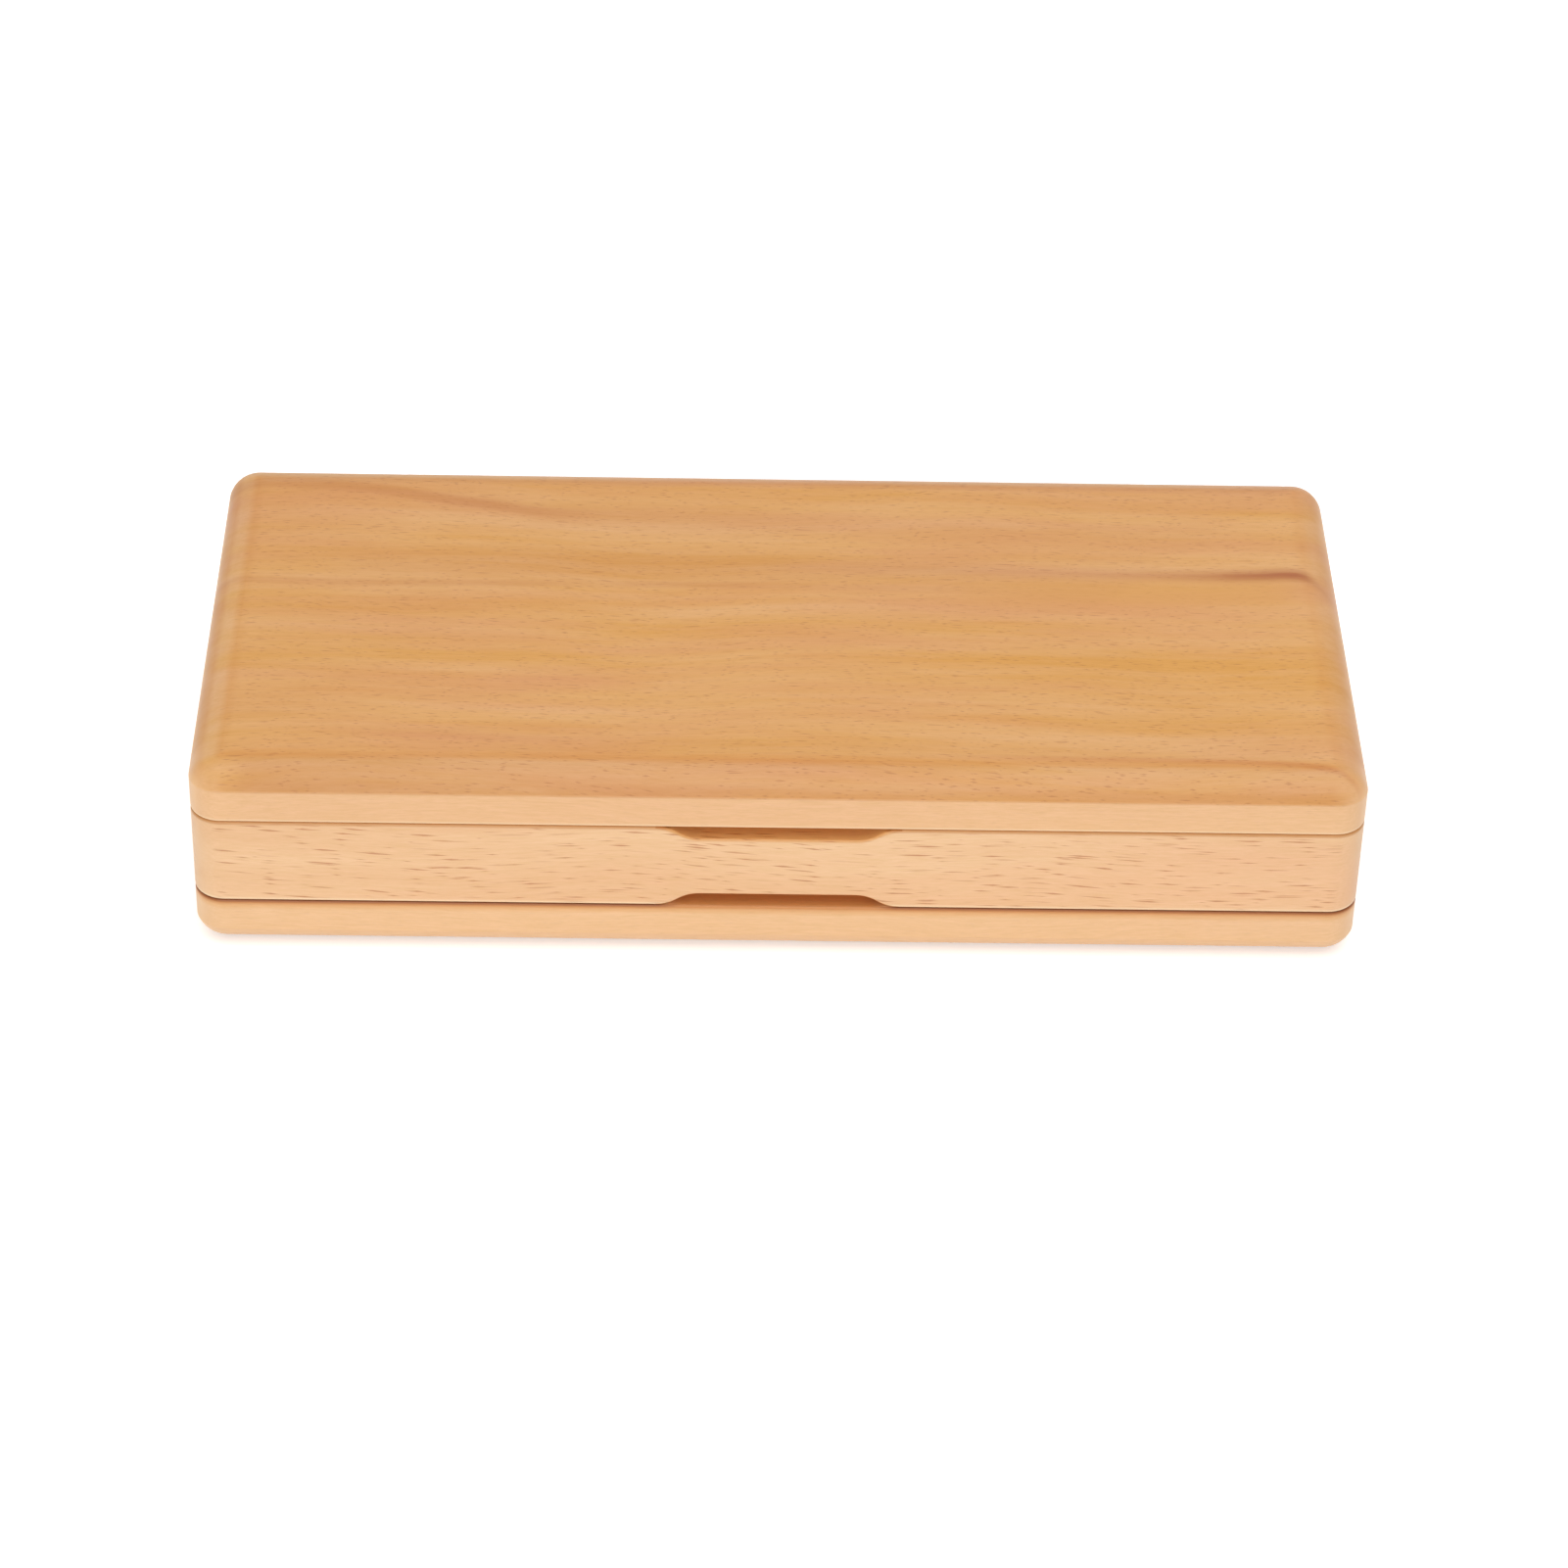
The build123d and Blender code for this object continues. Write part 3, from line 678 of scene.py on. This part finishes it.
# Each streak has its tint, its path, its strength along the way, its width and its fade to the sides.
# The later ones lie over the earlier: a honey band at the right, and a rosy one along the front border.
upper_streaks = (
    (
        "B76819",
        ((-120, 48.5), (-96, 48), (-85, 46.3), (-71, 42.9), (-61, 40.8), (-51, 38.5), (-38, 37.6), (120, 34)),
        ((-120, 0.3), (-100, 0.36), (-80, 0.36), (-65, 0.42), (-55, 0.34), (-45, 0.2), (-32, 0.04), (120, 0)),
        6.0,
        soft,
    ),
    (
        "C37A35",
        ((-120, 37), (-40, 37), (-10, 35.5), (30, 34), (70, 32), (120, 31)),
        ((-120, 0), (-62, 0.04), (-45, 0.2), (-10, 0.22), (20, 0.12), (60, 0.1), (120, 0.06)),
        7.0,
        broad,
    ),
    (
        "A04A00",
        (
            (-120, 19), (-8, 19), (45, 17.6), (79, 16.9), (95, 16.9),
            (104, 17.4), (110, 17.9), (113, 17.4), (116, 14.5), (120, 8),
        ),
        (
            (-120, 0), (-10, 0.03), (20, 0.08), (45, 0.13), (70, 0.22), (85, 0.4),
            (94, 0.6), (100, 0.8), (110, 0.86), (114, 0.45), (117, 0.1), (120, 0),
        ),
        4.2,
        knot_side,
    ),
    (
        "C27C48",
        ((-120, 18), (-40, 18.5), (0, 18), (60, 17), (120, 16)),
        ((-120, 0.0), (-100, 0.05), (-80, 0.18), (-10, 0.2), (30, 0.16), (70, 0.12), (120, 0.1)),
        8.5,
        broad,
    ),
    (
        "B5641C",
        ((-120, 12), (-105, 11), (-60, 11), (-20, 11.3), (20, 11), (120, 8)),
        (
            (-120, 0.15), (-105, 0.2), (-55, 0.22), (-38, 0.08), (-30, 0.2), (-10, 0.2),
            (0, 0.1), (30, 0.1), (120, 0),
        ),
        3.6,
        soft,
    ),
    (
        "C87A20",
        ((-120, -34), (-80, -33), (120, -30)),
        ((-120, 0.1), (-105, 0.16), (-92, 0.14), (-80, 0.04), (-40, 0), (120, 0)),
        8.0,
        broad,
    ),
    (
        "B35A1C",
        ((-120, -42), (-80, -43), (-50, -44.5), (0, -46), (120, -46)),
        ((-120, 0), (-88, 0.04), (-76, 0.08), (-55, 0.08), (-42, 0.04), (0, 0.08), (60, 0.04), (120, 0)),
        4.5,
        soft,
    ),
    # This one is painted shade: it deepens the orange line where the border meets the field and curves into
    # the right front corner
    (
        "BC6614",
        (
            (-120, -49), (40, -49), (54, -49.2), (98, -49.8),
            (108, -50.6), (113, -52), (116.5, -54), (120, -57),
        ),
        ((-120, 0), (-40, 0.05), (30, 0.1), (54, 0.26), (100, 0.32), (114, 0.3), (120, 0.2)),
        2.4,
        soft,
    ),
    (
        "DDA352",
        ((-120, 9), (40, 9.5), (70, 10), (95, 10.5), (120, 10)),
        ((-120, 0), (20, 0), (45, 0.4), (70, 0.6), (100, 0.6), (112, 0.1), (120, 0)),
        8.0,
        broad,
    ),
    (
        "C07A38",
        ((-120, -56), (120, -56)),
        (
            (-120, 0), (-113, 0), (-106, 0.3), (-85, 0.3), (-60, 0.2), (-30, 0.12),
            (0, 0.04), (30, 0), (120, 0),
        ),
        6.5,
        broad,
    ),
)
top_lid_beech = lid_beech("beech_top_board_satin_lacquer", (37, 11, 5), True, upper_streaks)
bottom_lid_beech = lid_beech("beech_bottom_board_satin_lacquer", (-420, 60, 90), False)

for name, finish in {
    "middle_body": middle_beech,
    "top_lid": top_lid_beech,
    "bottom_lid": bottom_lid_beech,
    "top_peg_bar": bar_beech,
    "bottom_peg_bar": bar_beech,
}.items():
    nodes[name].data.materials[0] = finish
    print(name, "is in", finish.name)

# %% [markdown]
# ## Brass and nickel
#
# The hinges are milled from brass and lightly brushed along their length. Brushing leaves fine parallel
# scratches, so the roughness varies in thin lines, and handling darkens the metal in soft patches. A screw
# is turned and handled less, so it is a little redder and finer. The magnets are plated with nickel: cooler,
# satin, with a few small scuffs.

# %% Function for a worn metal, and the three metals
def metal(name, bright, tarnished, line_mm, rough_low, rough_high):
    """A metal with scratches of this size and soft patches of tarnish."""
    made, tree, shader, _, place = new_finish(name)
    lines = add(tree, "ShaderNodeVectorMath", {0: place, 1: line_mm}, operation="DIVIDE")
    scratches = add(tree, "ShaderNodeTexNoise", {"Vector": lines, "Scale": 1.0, "Detail": 3.0})
    patches = add(tree, "ShaderNodeTexNoise", {"Vector": place, "Scale": 1 / 7, "Detail": 3.0})
    worn = {"Value": scratches, **noise_range, "To Min": rough_low, "To Max": rough_high}
    rough = add(tree, "ShaderNodeMapRange", worn)
    age = add(tree, "ShaderNodeMapRange", {"Value": patches, "From Min": 0.4, "From Max": 0.9})
    tone = add(tree, "ShaderNodeMix", {0: age, 6: linear(bright), 7: linear(tarnished)}, **COLOURS)
    relief = add(tree, "ShaderNodeBump", {"Height": scratches, "Strength": 0.2, "Distance": 0.01 * MM})
    wire(tree, shader, {"Base Color": tone, "Roughness": rough, "Normal": relief, "Metallic": 1.0})
    return made


brass = metal("milled_brass_lightly_brushed", "E3CB98", "C4A56C", (6.0, 0.12, 0.12), 0.22, 0.36)
screw_brass = metal("turned_brass_screw", "D2AC6C", "A07C44", (0.3, 0.3, 0.3), 0.16, 0.28)
nickel = metal("nickel_plate", "D3CFC8", "B9B4AC", (1.5, 1.5, 1.5), 0.30, 0.42)
for name, node in nodes.items():
    if name.endswith(("leaf", "pin", "magnet")):
        node.data.materials[0] = nickel if name.endswith("magnet") else brass
        print(name, "is in", node.data.materials[0].name)

# %% [markdown]
# ## Waxed beech for the pegs
#
# The pegs' grain runs along each peg, that is across the case, so their pattern is stretched along Y. A fine
# wave along it is what the turning tool left. The pegs were waxed and not lacquered, and the reeds' tubes
# have polished them, so they are a little darker and rougher than the box. No two come from the same stick,
# so each has a tone of its own.

# %% Peg finish
tool_step = 0.35
peg_finish, tree, shader, _, place = new_finish("turned_beech_waxed")
long_place = add(tree, "ShaderNodeVectorMath", {0: place, 1: (1 / 0.5, 1 / 9, 1 / 0.5)}, operation="MULTIPLY")
fibre = add(tree, "ShaderNodeTexNoise", {"Vector": long_place, "Scale": 1.0, "Detail": 3.0})
peg_y = add(tree, "ShaderNodeSeparateXYZ", {0: place}).outputs[1]
tool_angle = add(tree, "ShaderNodeMath", {0: peg_y, 1: 2 * math.pi / tool_step}, operation="MULTIPLY")
tool_marks = add(tree, "ShaderNodeMath", {0: tool_angle}, operation="SINE")
height = add(tree, "ShaderNodeMath", {0: tool_marks, 1: 0.25, 2: fibre}, operation="MULTIPLY_ADD")
own_tone = add(tree, "ShaderNodeAttribute", attribute_name="peg_tone", attribute_type="GEOMETRY")
tone = add(tree, "ShaderNodeMath", {0: own_tone.outputs["Fac"], 1: 0.35, 2: fibre}, operation="MULTIPLY_ADD")
darker = add(tree, "ShaderNodeMapRange", {"Value": tone, "From Min": 0.45, "From Max": 0.95})
shade = add(tree, "ShaderNodeMix", {0: darker, 6: linear("E3B182"), 7: linear("C98F5D")}, **COLOURS)
relief = add(tree, "ShaderNodeBump", {"Height": height, "Strength": 0.25, "Distance": 0.02 * MM})
wax = add(tree, "ShaderNodeMapRange", {"Value": fibre, **noise_range, "To Min": 0.34, "To Max": 0.5})
wire(tree, shader, {"Base Color": shade, "Normal": relief, "Roughness": wax})
print("made", peg_finish.name)

# %% [markdown]
# ## The pegs, by Geometry Nodes
#
# Each peg is turned in a lathe: a tenon that goes into the bar, a shoulder, a plain shank that tapers by a
# hair and a rounded tip. A turned piece is a line with a thickness that changes along it, so a straight
# curve is given a radius by a Float Curve and swept with a circle. The row is that peg on every point of a
# mesh line, and a seeded random number gives each peg its tone.

# %% Helpers to start a tree, to run it and to smooth its result
def new_tree(name, inputs):
    """A Geometry Nodes tree with a geometry in and out and these inputs. Returns it and its inputs."""
    made = bpy.data.node_groups.new(name, "GeometryNodeTree")
    made.interface.new_socket("Geometry", in_out="INPUT", socket_type="NodeSocketGeometry")
    made.interface.new_socket("Geometry", in_out="OUTPUT", socket_type="NodeSocketGeometry")
    for label, kind in inputs.items():
        made.interface.new_socket(label, in_out="INPUT", socket_type="NodeSocket" + kind)
    return made, add(made, "NodeGroupInput").outputs


def finished(tree, instances, finish):
    """Ends a tree: its instances become a real mesh in this finish."""
    real = add(tree, "GeometryNodeRealizeInstances", {"Geometry": instances})
    coated = add(tree, "GeometryNodeSetMaterial", {"Geometry": real, "Material": finish})
    add(tree, "NodeGroupOutput", {"Geometry": coated})


def grown(name, tree, base_mesh, values):
    """Runs a tree on a mesh with these inputs and returns a plain mesh object of the result."""
    seed_object = bpy.data.objects.new(name + "_seed", base_mesh)
    bpy.context.scene.collection.objects.link(seed_object)
    modifier = seed_object.modifiers.new("grow", "NODES")
    modifier.node_group = tree
    sockets = {s.name: s.identifier for s in tree.interface.items_tree if s.in_out == "INPUT"}
    for label, value in values.items():
        modifier[sockets[label]] = value
    bpy.context.view_layer.update()
    ready = seed_object.evaluated_get(bpy.context.evaluated_depsgraph_get())
    mesh = bpy.data.meshes.new_from_object(ready)
    mesh.name = name
    bpy.data.objects.remove(seed_object)
    made = bpy.data.objects.new(name, mesh)
    bpy.context.scene.collection.objects.link(made)
    print(name, "has", len(mesh.polygons), "faces")
    return made


def smooth_below(mesh, angle):
    """Rounds the shading where faces meet at less than this angle, in degrees."""
    mesh.shade_smooth()
    mesh.set_sharp_from_angle(angle=math.radians(angle))


# %% Tree of a row of turned pegs
peg_tree, source = new_tree(
    "row_of_turned_pegs",
    {
        "Count": "Int",
        "Start": "Vector",
        "Pitch": "Float",
        "Radius": "Float",
        "Reach": "Float",
        "Tenon radius": "Float",
        "Tenon": "Float",
        "Seed": "Int",
        "Wood": "Material",
    },
)
circle = add(peg_tree, "GeometryNodeCurvePrimitiveCircle", {"Resolution": 24, "Radius": 1.0})

# The shank, with its thickness drawn by the curve: an eased shoulder, a slight taper and a round tip
shank_profile = (
    (0.0, 0.94), (0.03, 1.0), (0.80, 0.985), (0.90, 0.965), (0.96, 0.86), (0.985, 0.68), (1.0, 0.34)
)
outward = add(peg_tree, "ShaderNodeMath", {0: source["Reach"], 1: -1.0}, operation="MULTIPLY")
tip = add(peg_tree, "ShaderNodeCombineXYZ", {1: outward})
shank_line = add(peg_tree, "GeometryNodeCurvePrimitiveLine", {"End": tip})
shank_path = add(peg_tree, "GeometryNodeResampleCurve", {"Curve": shank_line, "Count": 41})
way = add(peg_tree, "GeometryNodeSplineParameter")
turning = add(peg_tree, "ShaderNodeFloatCurve", {"Value": way}, points=shank_profile)
shank_size = add(peg_tree, "ShaderNodeMath", {0: turning, 1: source["Radius"]}, operation="MULTIPLY")

# The tenon is a plain stick of its own thickness, behind the shoulder
root = add(peg_tree, "ShaderNodeCombineXYZ", {1: source["Tenon"]})
tenon_path = add(peg_tree, "GeometryNodeCurvePrimitiveLine", {"End": root})
shank, tenon = (
    add(
        peg_tree,
        "GeometryNodeCurveToMesh",
        {"Curve": path, "Profile Curve": circle, "Scale": size, "Fill Caps": True},
    )
    for path, size in ((shank_path, shank_size), (tenon_path, source["Tenon radius"]))
)
peg = add(peg_tree, "GeometryNodeJoinGeometry", {"Geometry": shank})
wire(peg_tree, peg, {"Geometry": tenon})

# The row: a line of points, a peg on each, and a tone of its own for every peg
step = add(peg_tree, "ShaderNodeCombineXYZ", {0: source["Pitch"]})
row_form = {"Count": source["Count"], "Start Location": source["Start"], "Offset": step}
places = add(peg_tree, "GeometryNodeMeshLine", row_form)
row = add(peg_tree, "GeometryNodeInstanceOnPoints", {"Points": places, "Instance": peg})
chance = add(peg_tree, "FunctionNodeRandomValue", {"Seed": source["Seed"]}, data_type="FLOAT")
toned = add(
    peg_tree,
    "GeometryNodeStoreNamedAttribute",
    {"Geometry": row, "Name": "peg_tone", "Value": chance},
    data_type="FLOAT",
    domain="INSTANCE",
)
finished(peg_tree, toned, source["Wood"])
print(peg_tree.name, "has", len(peg_tree.nodes), "nodes")

# %% The two rows of pegs
peg_count = 20
tenon_radius = 1.6 * MM
for side, seed in (("top", 4), ("bottom", 9)):
    low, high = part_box(side + "_pegs")
    radius = (high.z - low.z) / 2
    pitch = (high.x - low.x - 2 * radius) / (peg_count - 1)
    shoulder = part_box(side + "_peg_bar")[0].y
    pegs = grown(
        side + "_turned_pegs",
        peg_tree,
        bpy.data.meshes.new(side + "_peg_start"),
        {
            "Count": peg_count,
            "Start": (low.x + radius, shoulder, (low.z + high.z) / 2),
            "Pitch": pitch,
            "Radius": radius,
            "Reach": shoulder - low.y,
            "Tenon radius": tenon_radius,
            "Tenon": high.y - shoulder,
            "Seed": seed,
            "Wood": peg_finish,
        },
    )
    smooth_below(pegs.data, 50)
    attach(pegs, "middle")
    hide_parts(side + "_pegs")
    print(side, "pegs every", round(pitch / MM, 3), "mm, shoulder at", round(shoulder / MM, 2), "mm")

# %% [markdown]
# ## The screws, by Geometry Nodes
#
# Each hinge leaf is held by two slotted brass screws, sunk a tenth of a millimetre below its face. One screw
# is turned from its profile with bmesh, and its slot is cut by a Boolean modifier. The tree then puts it on
# each vertex of a small mesh of places. A screw stops where it is tight, so every slot points its own way:
# a seeded random turn about the screw's axis. The vertex attribute "flipped" marks the screws whose points
# are up.

# %% One slotted screw
# Radius and height in mm: head with an eased rim, neck, shank and point
screw_profile = (
    (0.0, 0.0), (1.82, 0.0), (1.90, -0.08), (1.0, -0.98), (1.0, -1.3), (0.82, -1.5), (0.82, -5.0), (0.0, -6.5)
)
slot_cutter_size = (5 * MM, 0.5 * MM, 1.0 * MM)
turned = bmesh.new()
rim = [turned.verts.new((r * MM, 0, z * MM)) for r, z in screw_profile]
profile_edges = [turned.edges.new(pair) for pair in zip(rim, rim[1:])]
bmesh.ops.spin(
    turned,
    geom=rim + profile_edges,
    cent=(0, 0, 0),
    axis=(0, 0, 1),
    angle=2 * math.pi,
    steps=32,
    use_merge=True,
)
bmesh.ops.remove_doubles(turned, verts=turned.verts, dist=0.001 * MM)
bmesh.ops.recalc_face_normals(turned, faces=turned.faces)
block = bmesh.new()
bmesh.ops.create_cube(block, size=1.0, matrix=Matrix.Diagonal((*slot_cutter_size, 1.0)))
shapes = []
for name, form in (("slotted_screw", turned), ("slot_cutter", block)):
    mesh = bpy.data.meshes.new(name)
    form.to_mesh(mesh)
    form.free()
    shapes.append(bpy.data.objects.new(name, mesh))
    bpy.context.scene.collection.objects.link(shapes[-1])
screw, cutter = shapes

slotting = screw.modifiers.new("slot", "BOOLEAN")
slotting.operation, slotting.object, slotting.solver = "DIFFERENCE", cutter, "EXACT"
easing = screw.modifiers.new("eased", "BEVEL")
easing.width, easing.segments = 0.05 * MM, 1
easing.limit_method, easing.angle_limit = "ANGLE", math.radians(40)
bpy.context.view_layer.update()
slotted = bpy.data.meshes.new_from_object(screw.evaluated_get(bpy.context.evaluated_depsgraph_get()))
screw.modifiers.clear()
screw.data = slotted
smooth_below(slotted, 35)
bpy.data.objects.remove(cutter)
print("one screw has", len(slotted.polygons), "faces")

# %% Tree that sets the screws
screw_tree, source = new_tree("hinge_screws", {"Screw": "Object", "Seed": "Int", "Metal": "Material"})
model = add(screw_tree, "GeometryNodeObjectInfo", {"Object": source["Screw"]}).outputs["Geometry"]
flipped = add(screw_tree, "GeometryNodeInputNamedAttribute", {"Name": "flipped"}, data_type="FLOAT")
over = add(screw_tree, "ShaderNodeMath", {0: flipped, 1: math.pi}, operation="MULTIPLY")
any_way = add(screw_tree, "FunctionNodeRandomValue", {"Seed": source["Seed"], 3: math.pi}, data_type="FLOAT")
angles = add(screw_tree, "ShaderNodeCombineXYZ", {0: over, 2: any_way})
turn_to = add(screw_tree, "FunctionNodeEulerToRotation", {"Euler": angles})
set_form = {"Points": source["Geometry"], "Instance": model, "Rotation": turn_to}
set_screws = add(screw_tree, "GeometryNodeInstanceOnPoints", set_form)
finished(screw_tree, set_screws, source["Metal"])
print(screw_tree.name, "has", len(screw_tree.nodes), "nodes")

# %% The three groups of screws
screw_spacing = 15.0 * MM
leaf_boxes = [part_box(f"top_{hand}_hinge_body_leaf") for hand in ("left", "right")]
leaf_centres = [(low.x + high.x) / 2 for low, high in leaf_boxes]
screw_xs = [centre + side * screw_spacing / 2 for centre in leaf_centres for side in (-1, 1)]
screw_groups = (("middle", 3, ("up", "down")), ("top_lid", 11, ("down",)), ("bottom_lid", 17, ("up",)))
for body, seed, ways in screw_groups:
    cad_node = body + "_hinge_screws"
    low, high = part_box(cad_node)
    head_levels = {"up": (high.z, 0.0), "down": (low.z, 1.0)}
    places = [(x, (low.y + high.y) / 2, *head_levels[way]) for way in ways for x in screw_xs]
    place_mesh = bpy.data.meshes.new(body + "_screw_places")
    place_mesh.from_pydata([place[:3] for place in places], [], [])
    marks = place_mesh.attributes.new("flipped", "FLOAT", "POINT")
    marks.data.foreach_set("value", [place[3] for place in places])
    screw_form = {"Screw": screw, "Seed": seed, "Metal": screw_brass}
    screws = grown(body + "_slotted_screws", screw_tree, place_mesh, screw_form)
    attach(screws, body)
    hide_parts(cad_node)
bpy.data.objects.remove(screw)

# %% [markdown]
# ## Velvet pads
#
# Each tray and each lid is lined with a thin pad: velvet drawn over a card and glued down. Its surface is
# full in the middle and rolls down at the rim, and its sides pull in a little between the corners. The pad
# is built as rings, each a copy of the outline drawn in further and standing higher. Velvet is a short
# standing pile. Seen along its surface the tips catch light, which is what the shader's sheen is for, and
# where a hand stroked it the pile leans and changes tone in soft patches.

# %% Velvet
velvet, tree, shader, _, place = new_finish("short_pile_velvet")
stroke_form = {"Vector": place, "Scale": 1 / 24, "Detail": 2.0, "Roughness": 0.45, "Distortion": 0.3}
strokes = add(tree, "ShaderNodeTexNoise", stroke_form)
# The pile's tufts stand 0.2 mm apart. They are drawn 0.5 mm apart, so that they show.
tufts = add(tree, "ShaderNodeTexNoise", {"Vector": place, "Scale": 1 / 0.5, "Detail": 2.0})
lean = add(tree, "ShaderNodeMapRange", {"Value": strokes, "From Min": 0.35, "From Max": 0.65})
pile = add(tree, "ShaderNodeMix", {0: lean, 6: linear("58101E"), 7: linear("681727")}, **COLOURS)
speckle = add(tree, "ShaderNodeMapRange", {"Value": tufts, **noise_range, "To Min": 0.75, "To Max": 1.2})
tufted = add(tree, "ShaderNodeVectorMath", {0: pile, "Scale": speckle}, operation="SCALE")
relief = add(tree, "ShaderNodeBump", {"Height": tufts, "Strength": 0.6, "Distance": 0.15 * MM})
wire(
    tree,
    shader,
    {
        "Base Color": tufted,
        "Normal": relief,
        "Roughness": 0.92,
        "Specular IOR Level": 0.2,
        "Sheen Weight": 0.8,
        "Sheen Roughness": 0.35,
        "Sheen Tint": linear("E0909C"),
    },
)
print("made", velvet.name)

# %% Function for a pad's outline
# How far in from the rim the pad reaches each share of its thickness, in mm
roll = (
    (0.0, 0.30), (0.12, 0.52), (0.32, 0.72), (0.65, 0.87),
    (1.2, 0.95), (2.5, 0.98), (6.0, 0.995), (14.0, 1.0),
)
pull_in = 0.12 * MM
corner_steps, side_steps = 8, 24


def outline(low, high, radii, inset):
    """Points round a rectangle with rounded corners, drawn in by an inset and a little on its sides."""
    corners = [Vector(spot) for spot in ((low.x, low.y), (high.x, low.y), (high.x, high.y), (low.x, high.y))]
    rounds = [max(radius - inset, 0.0) for radius in radii]
    points = []
    for i, corner in enumerate(corners):
        toward = Vector((1 if corner.x == low.x else -1, 1 if corner.y == low.y else -1))
        centre = corner + toward * (inset + rounds[i])
        for j in range(corner_steps + 1):
            angle = math.radians(180 + 90 * i + 90 * j / corner_steps)
            points.append(centre + rounds[i] * Vector((math.cos(angle), math.sin(angle))))
        after = (i + 1) % len(corners)
        side = corners[after] - corner
        ahead = side.normalized()
        inward = Vector((-ahead.y, ahead.x))
        start, stop = inset + rounds[i], side.length - inset - rounds[after]
        for j in range(1, side_steps):
            share = j / side_steps
            along = start + (stop - start) * share
            points.append(corner + ahead * along + inward * (inset + pull_in * math.sin(math.pi * share)))
    return points


print("a ring has", 4 * (corner_steps + side_steps), "points")

# %% Function for a pad, and the four pads
def pad(name, cad_node, body, faces_up, radii):
    """A velvet pad in the room of its plain solid."""
    low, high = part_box(cad_node)
    thickness = high.z - low.z
    back, sign = (low.z, 1) if faces_up else (high.z, -1)
    form = bmesh.new()
    rings = []
    for inset, share in ((0.0, 0.0), *roll):
        level = back + sign * thickness * share
        rings.append([form.verts.new((p.x, p.y, level)) for p in outline(low, high, radii, inset * MM)])
    for outer, inner in zip(rings, rings[1:]):
        for i in range(len(outer)):
            j = (i + 1) % len(outer)
            form.faces.new((outer[i], outer[j], inner[j], inner[i]))
    form.faces.new(rings[0])
    form.faces.new(rings[-1])
    bmesh.ops.remove_doubles(form, verts=form.verts, dist=0.0005 * MM)
    bmesh.ops.recalc_face_normals(form, faces=form.faces)
    mesh = bpy.data.meshes.new(name)
    form.to_mesh(mesh)
    form.free()
    smooth_below(mesh, 60)
    mesh.materials.append(velvet)
    made = bpy.data.objects.new(name, mesh)
    bpy.context.scene.collection.objects.link(made)
    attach(made, body)
    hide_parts(cad_node)
    print(name, "is", round((high.x - low.x) / MM, 1), "by", round((high.y - low.y) / MM, 1), "mm")


round_corner, bar_corner = 4.7 * MM, 0.8 * MM
tray_corners = (round_corner, round_corner, bar_corner, bar_corner)
lid_corners = (round_corner,) * 4
pad("top_tray_velvet", "top_tray_lining", "middle", True, tray_corners)
pad("bottom_tray_velvet", "bottom_tray_lining", "middle", False, tray_corners)
pad("top_lid_velvet", "top_lid_lining", "top_lid", False, lid_corners)
pad("bottom_lid_velvet", "bottom_lid_lining", "bottom_lid", True, lid_corners)

# %% [markdown]
# ## The finished case
#
# The looks are meant to leave the size as it is. The box of the construction, measured at the start, is
# printed here.

# %% Sizes, and the end
print("construction box", cad_box)
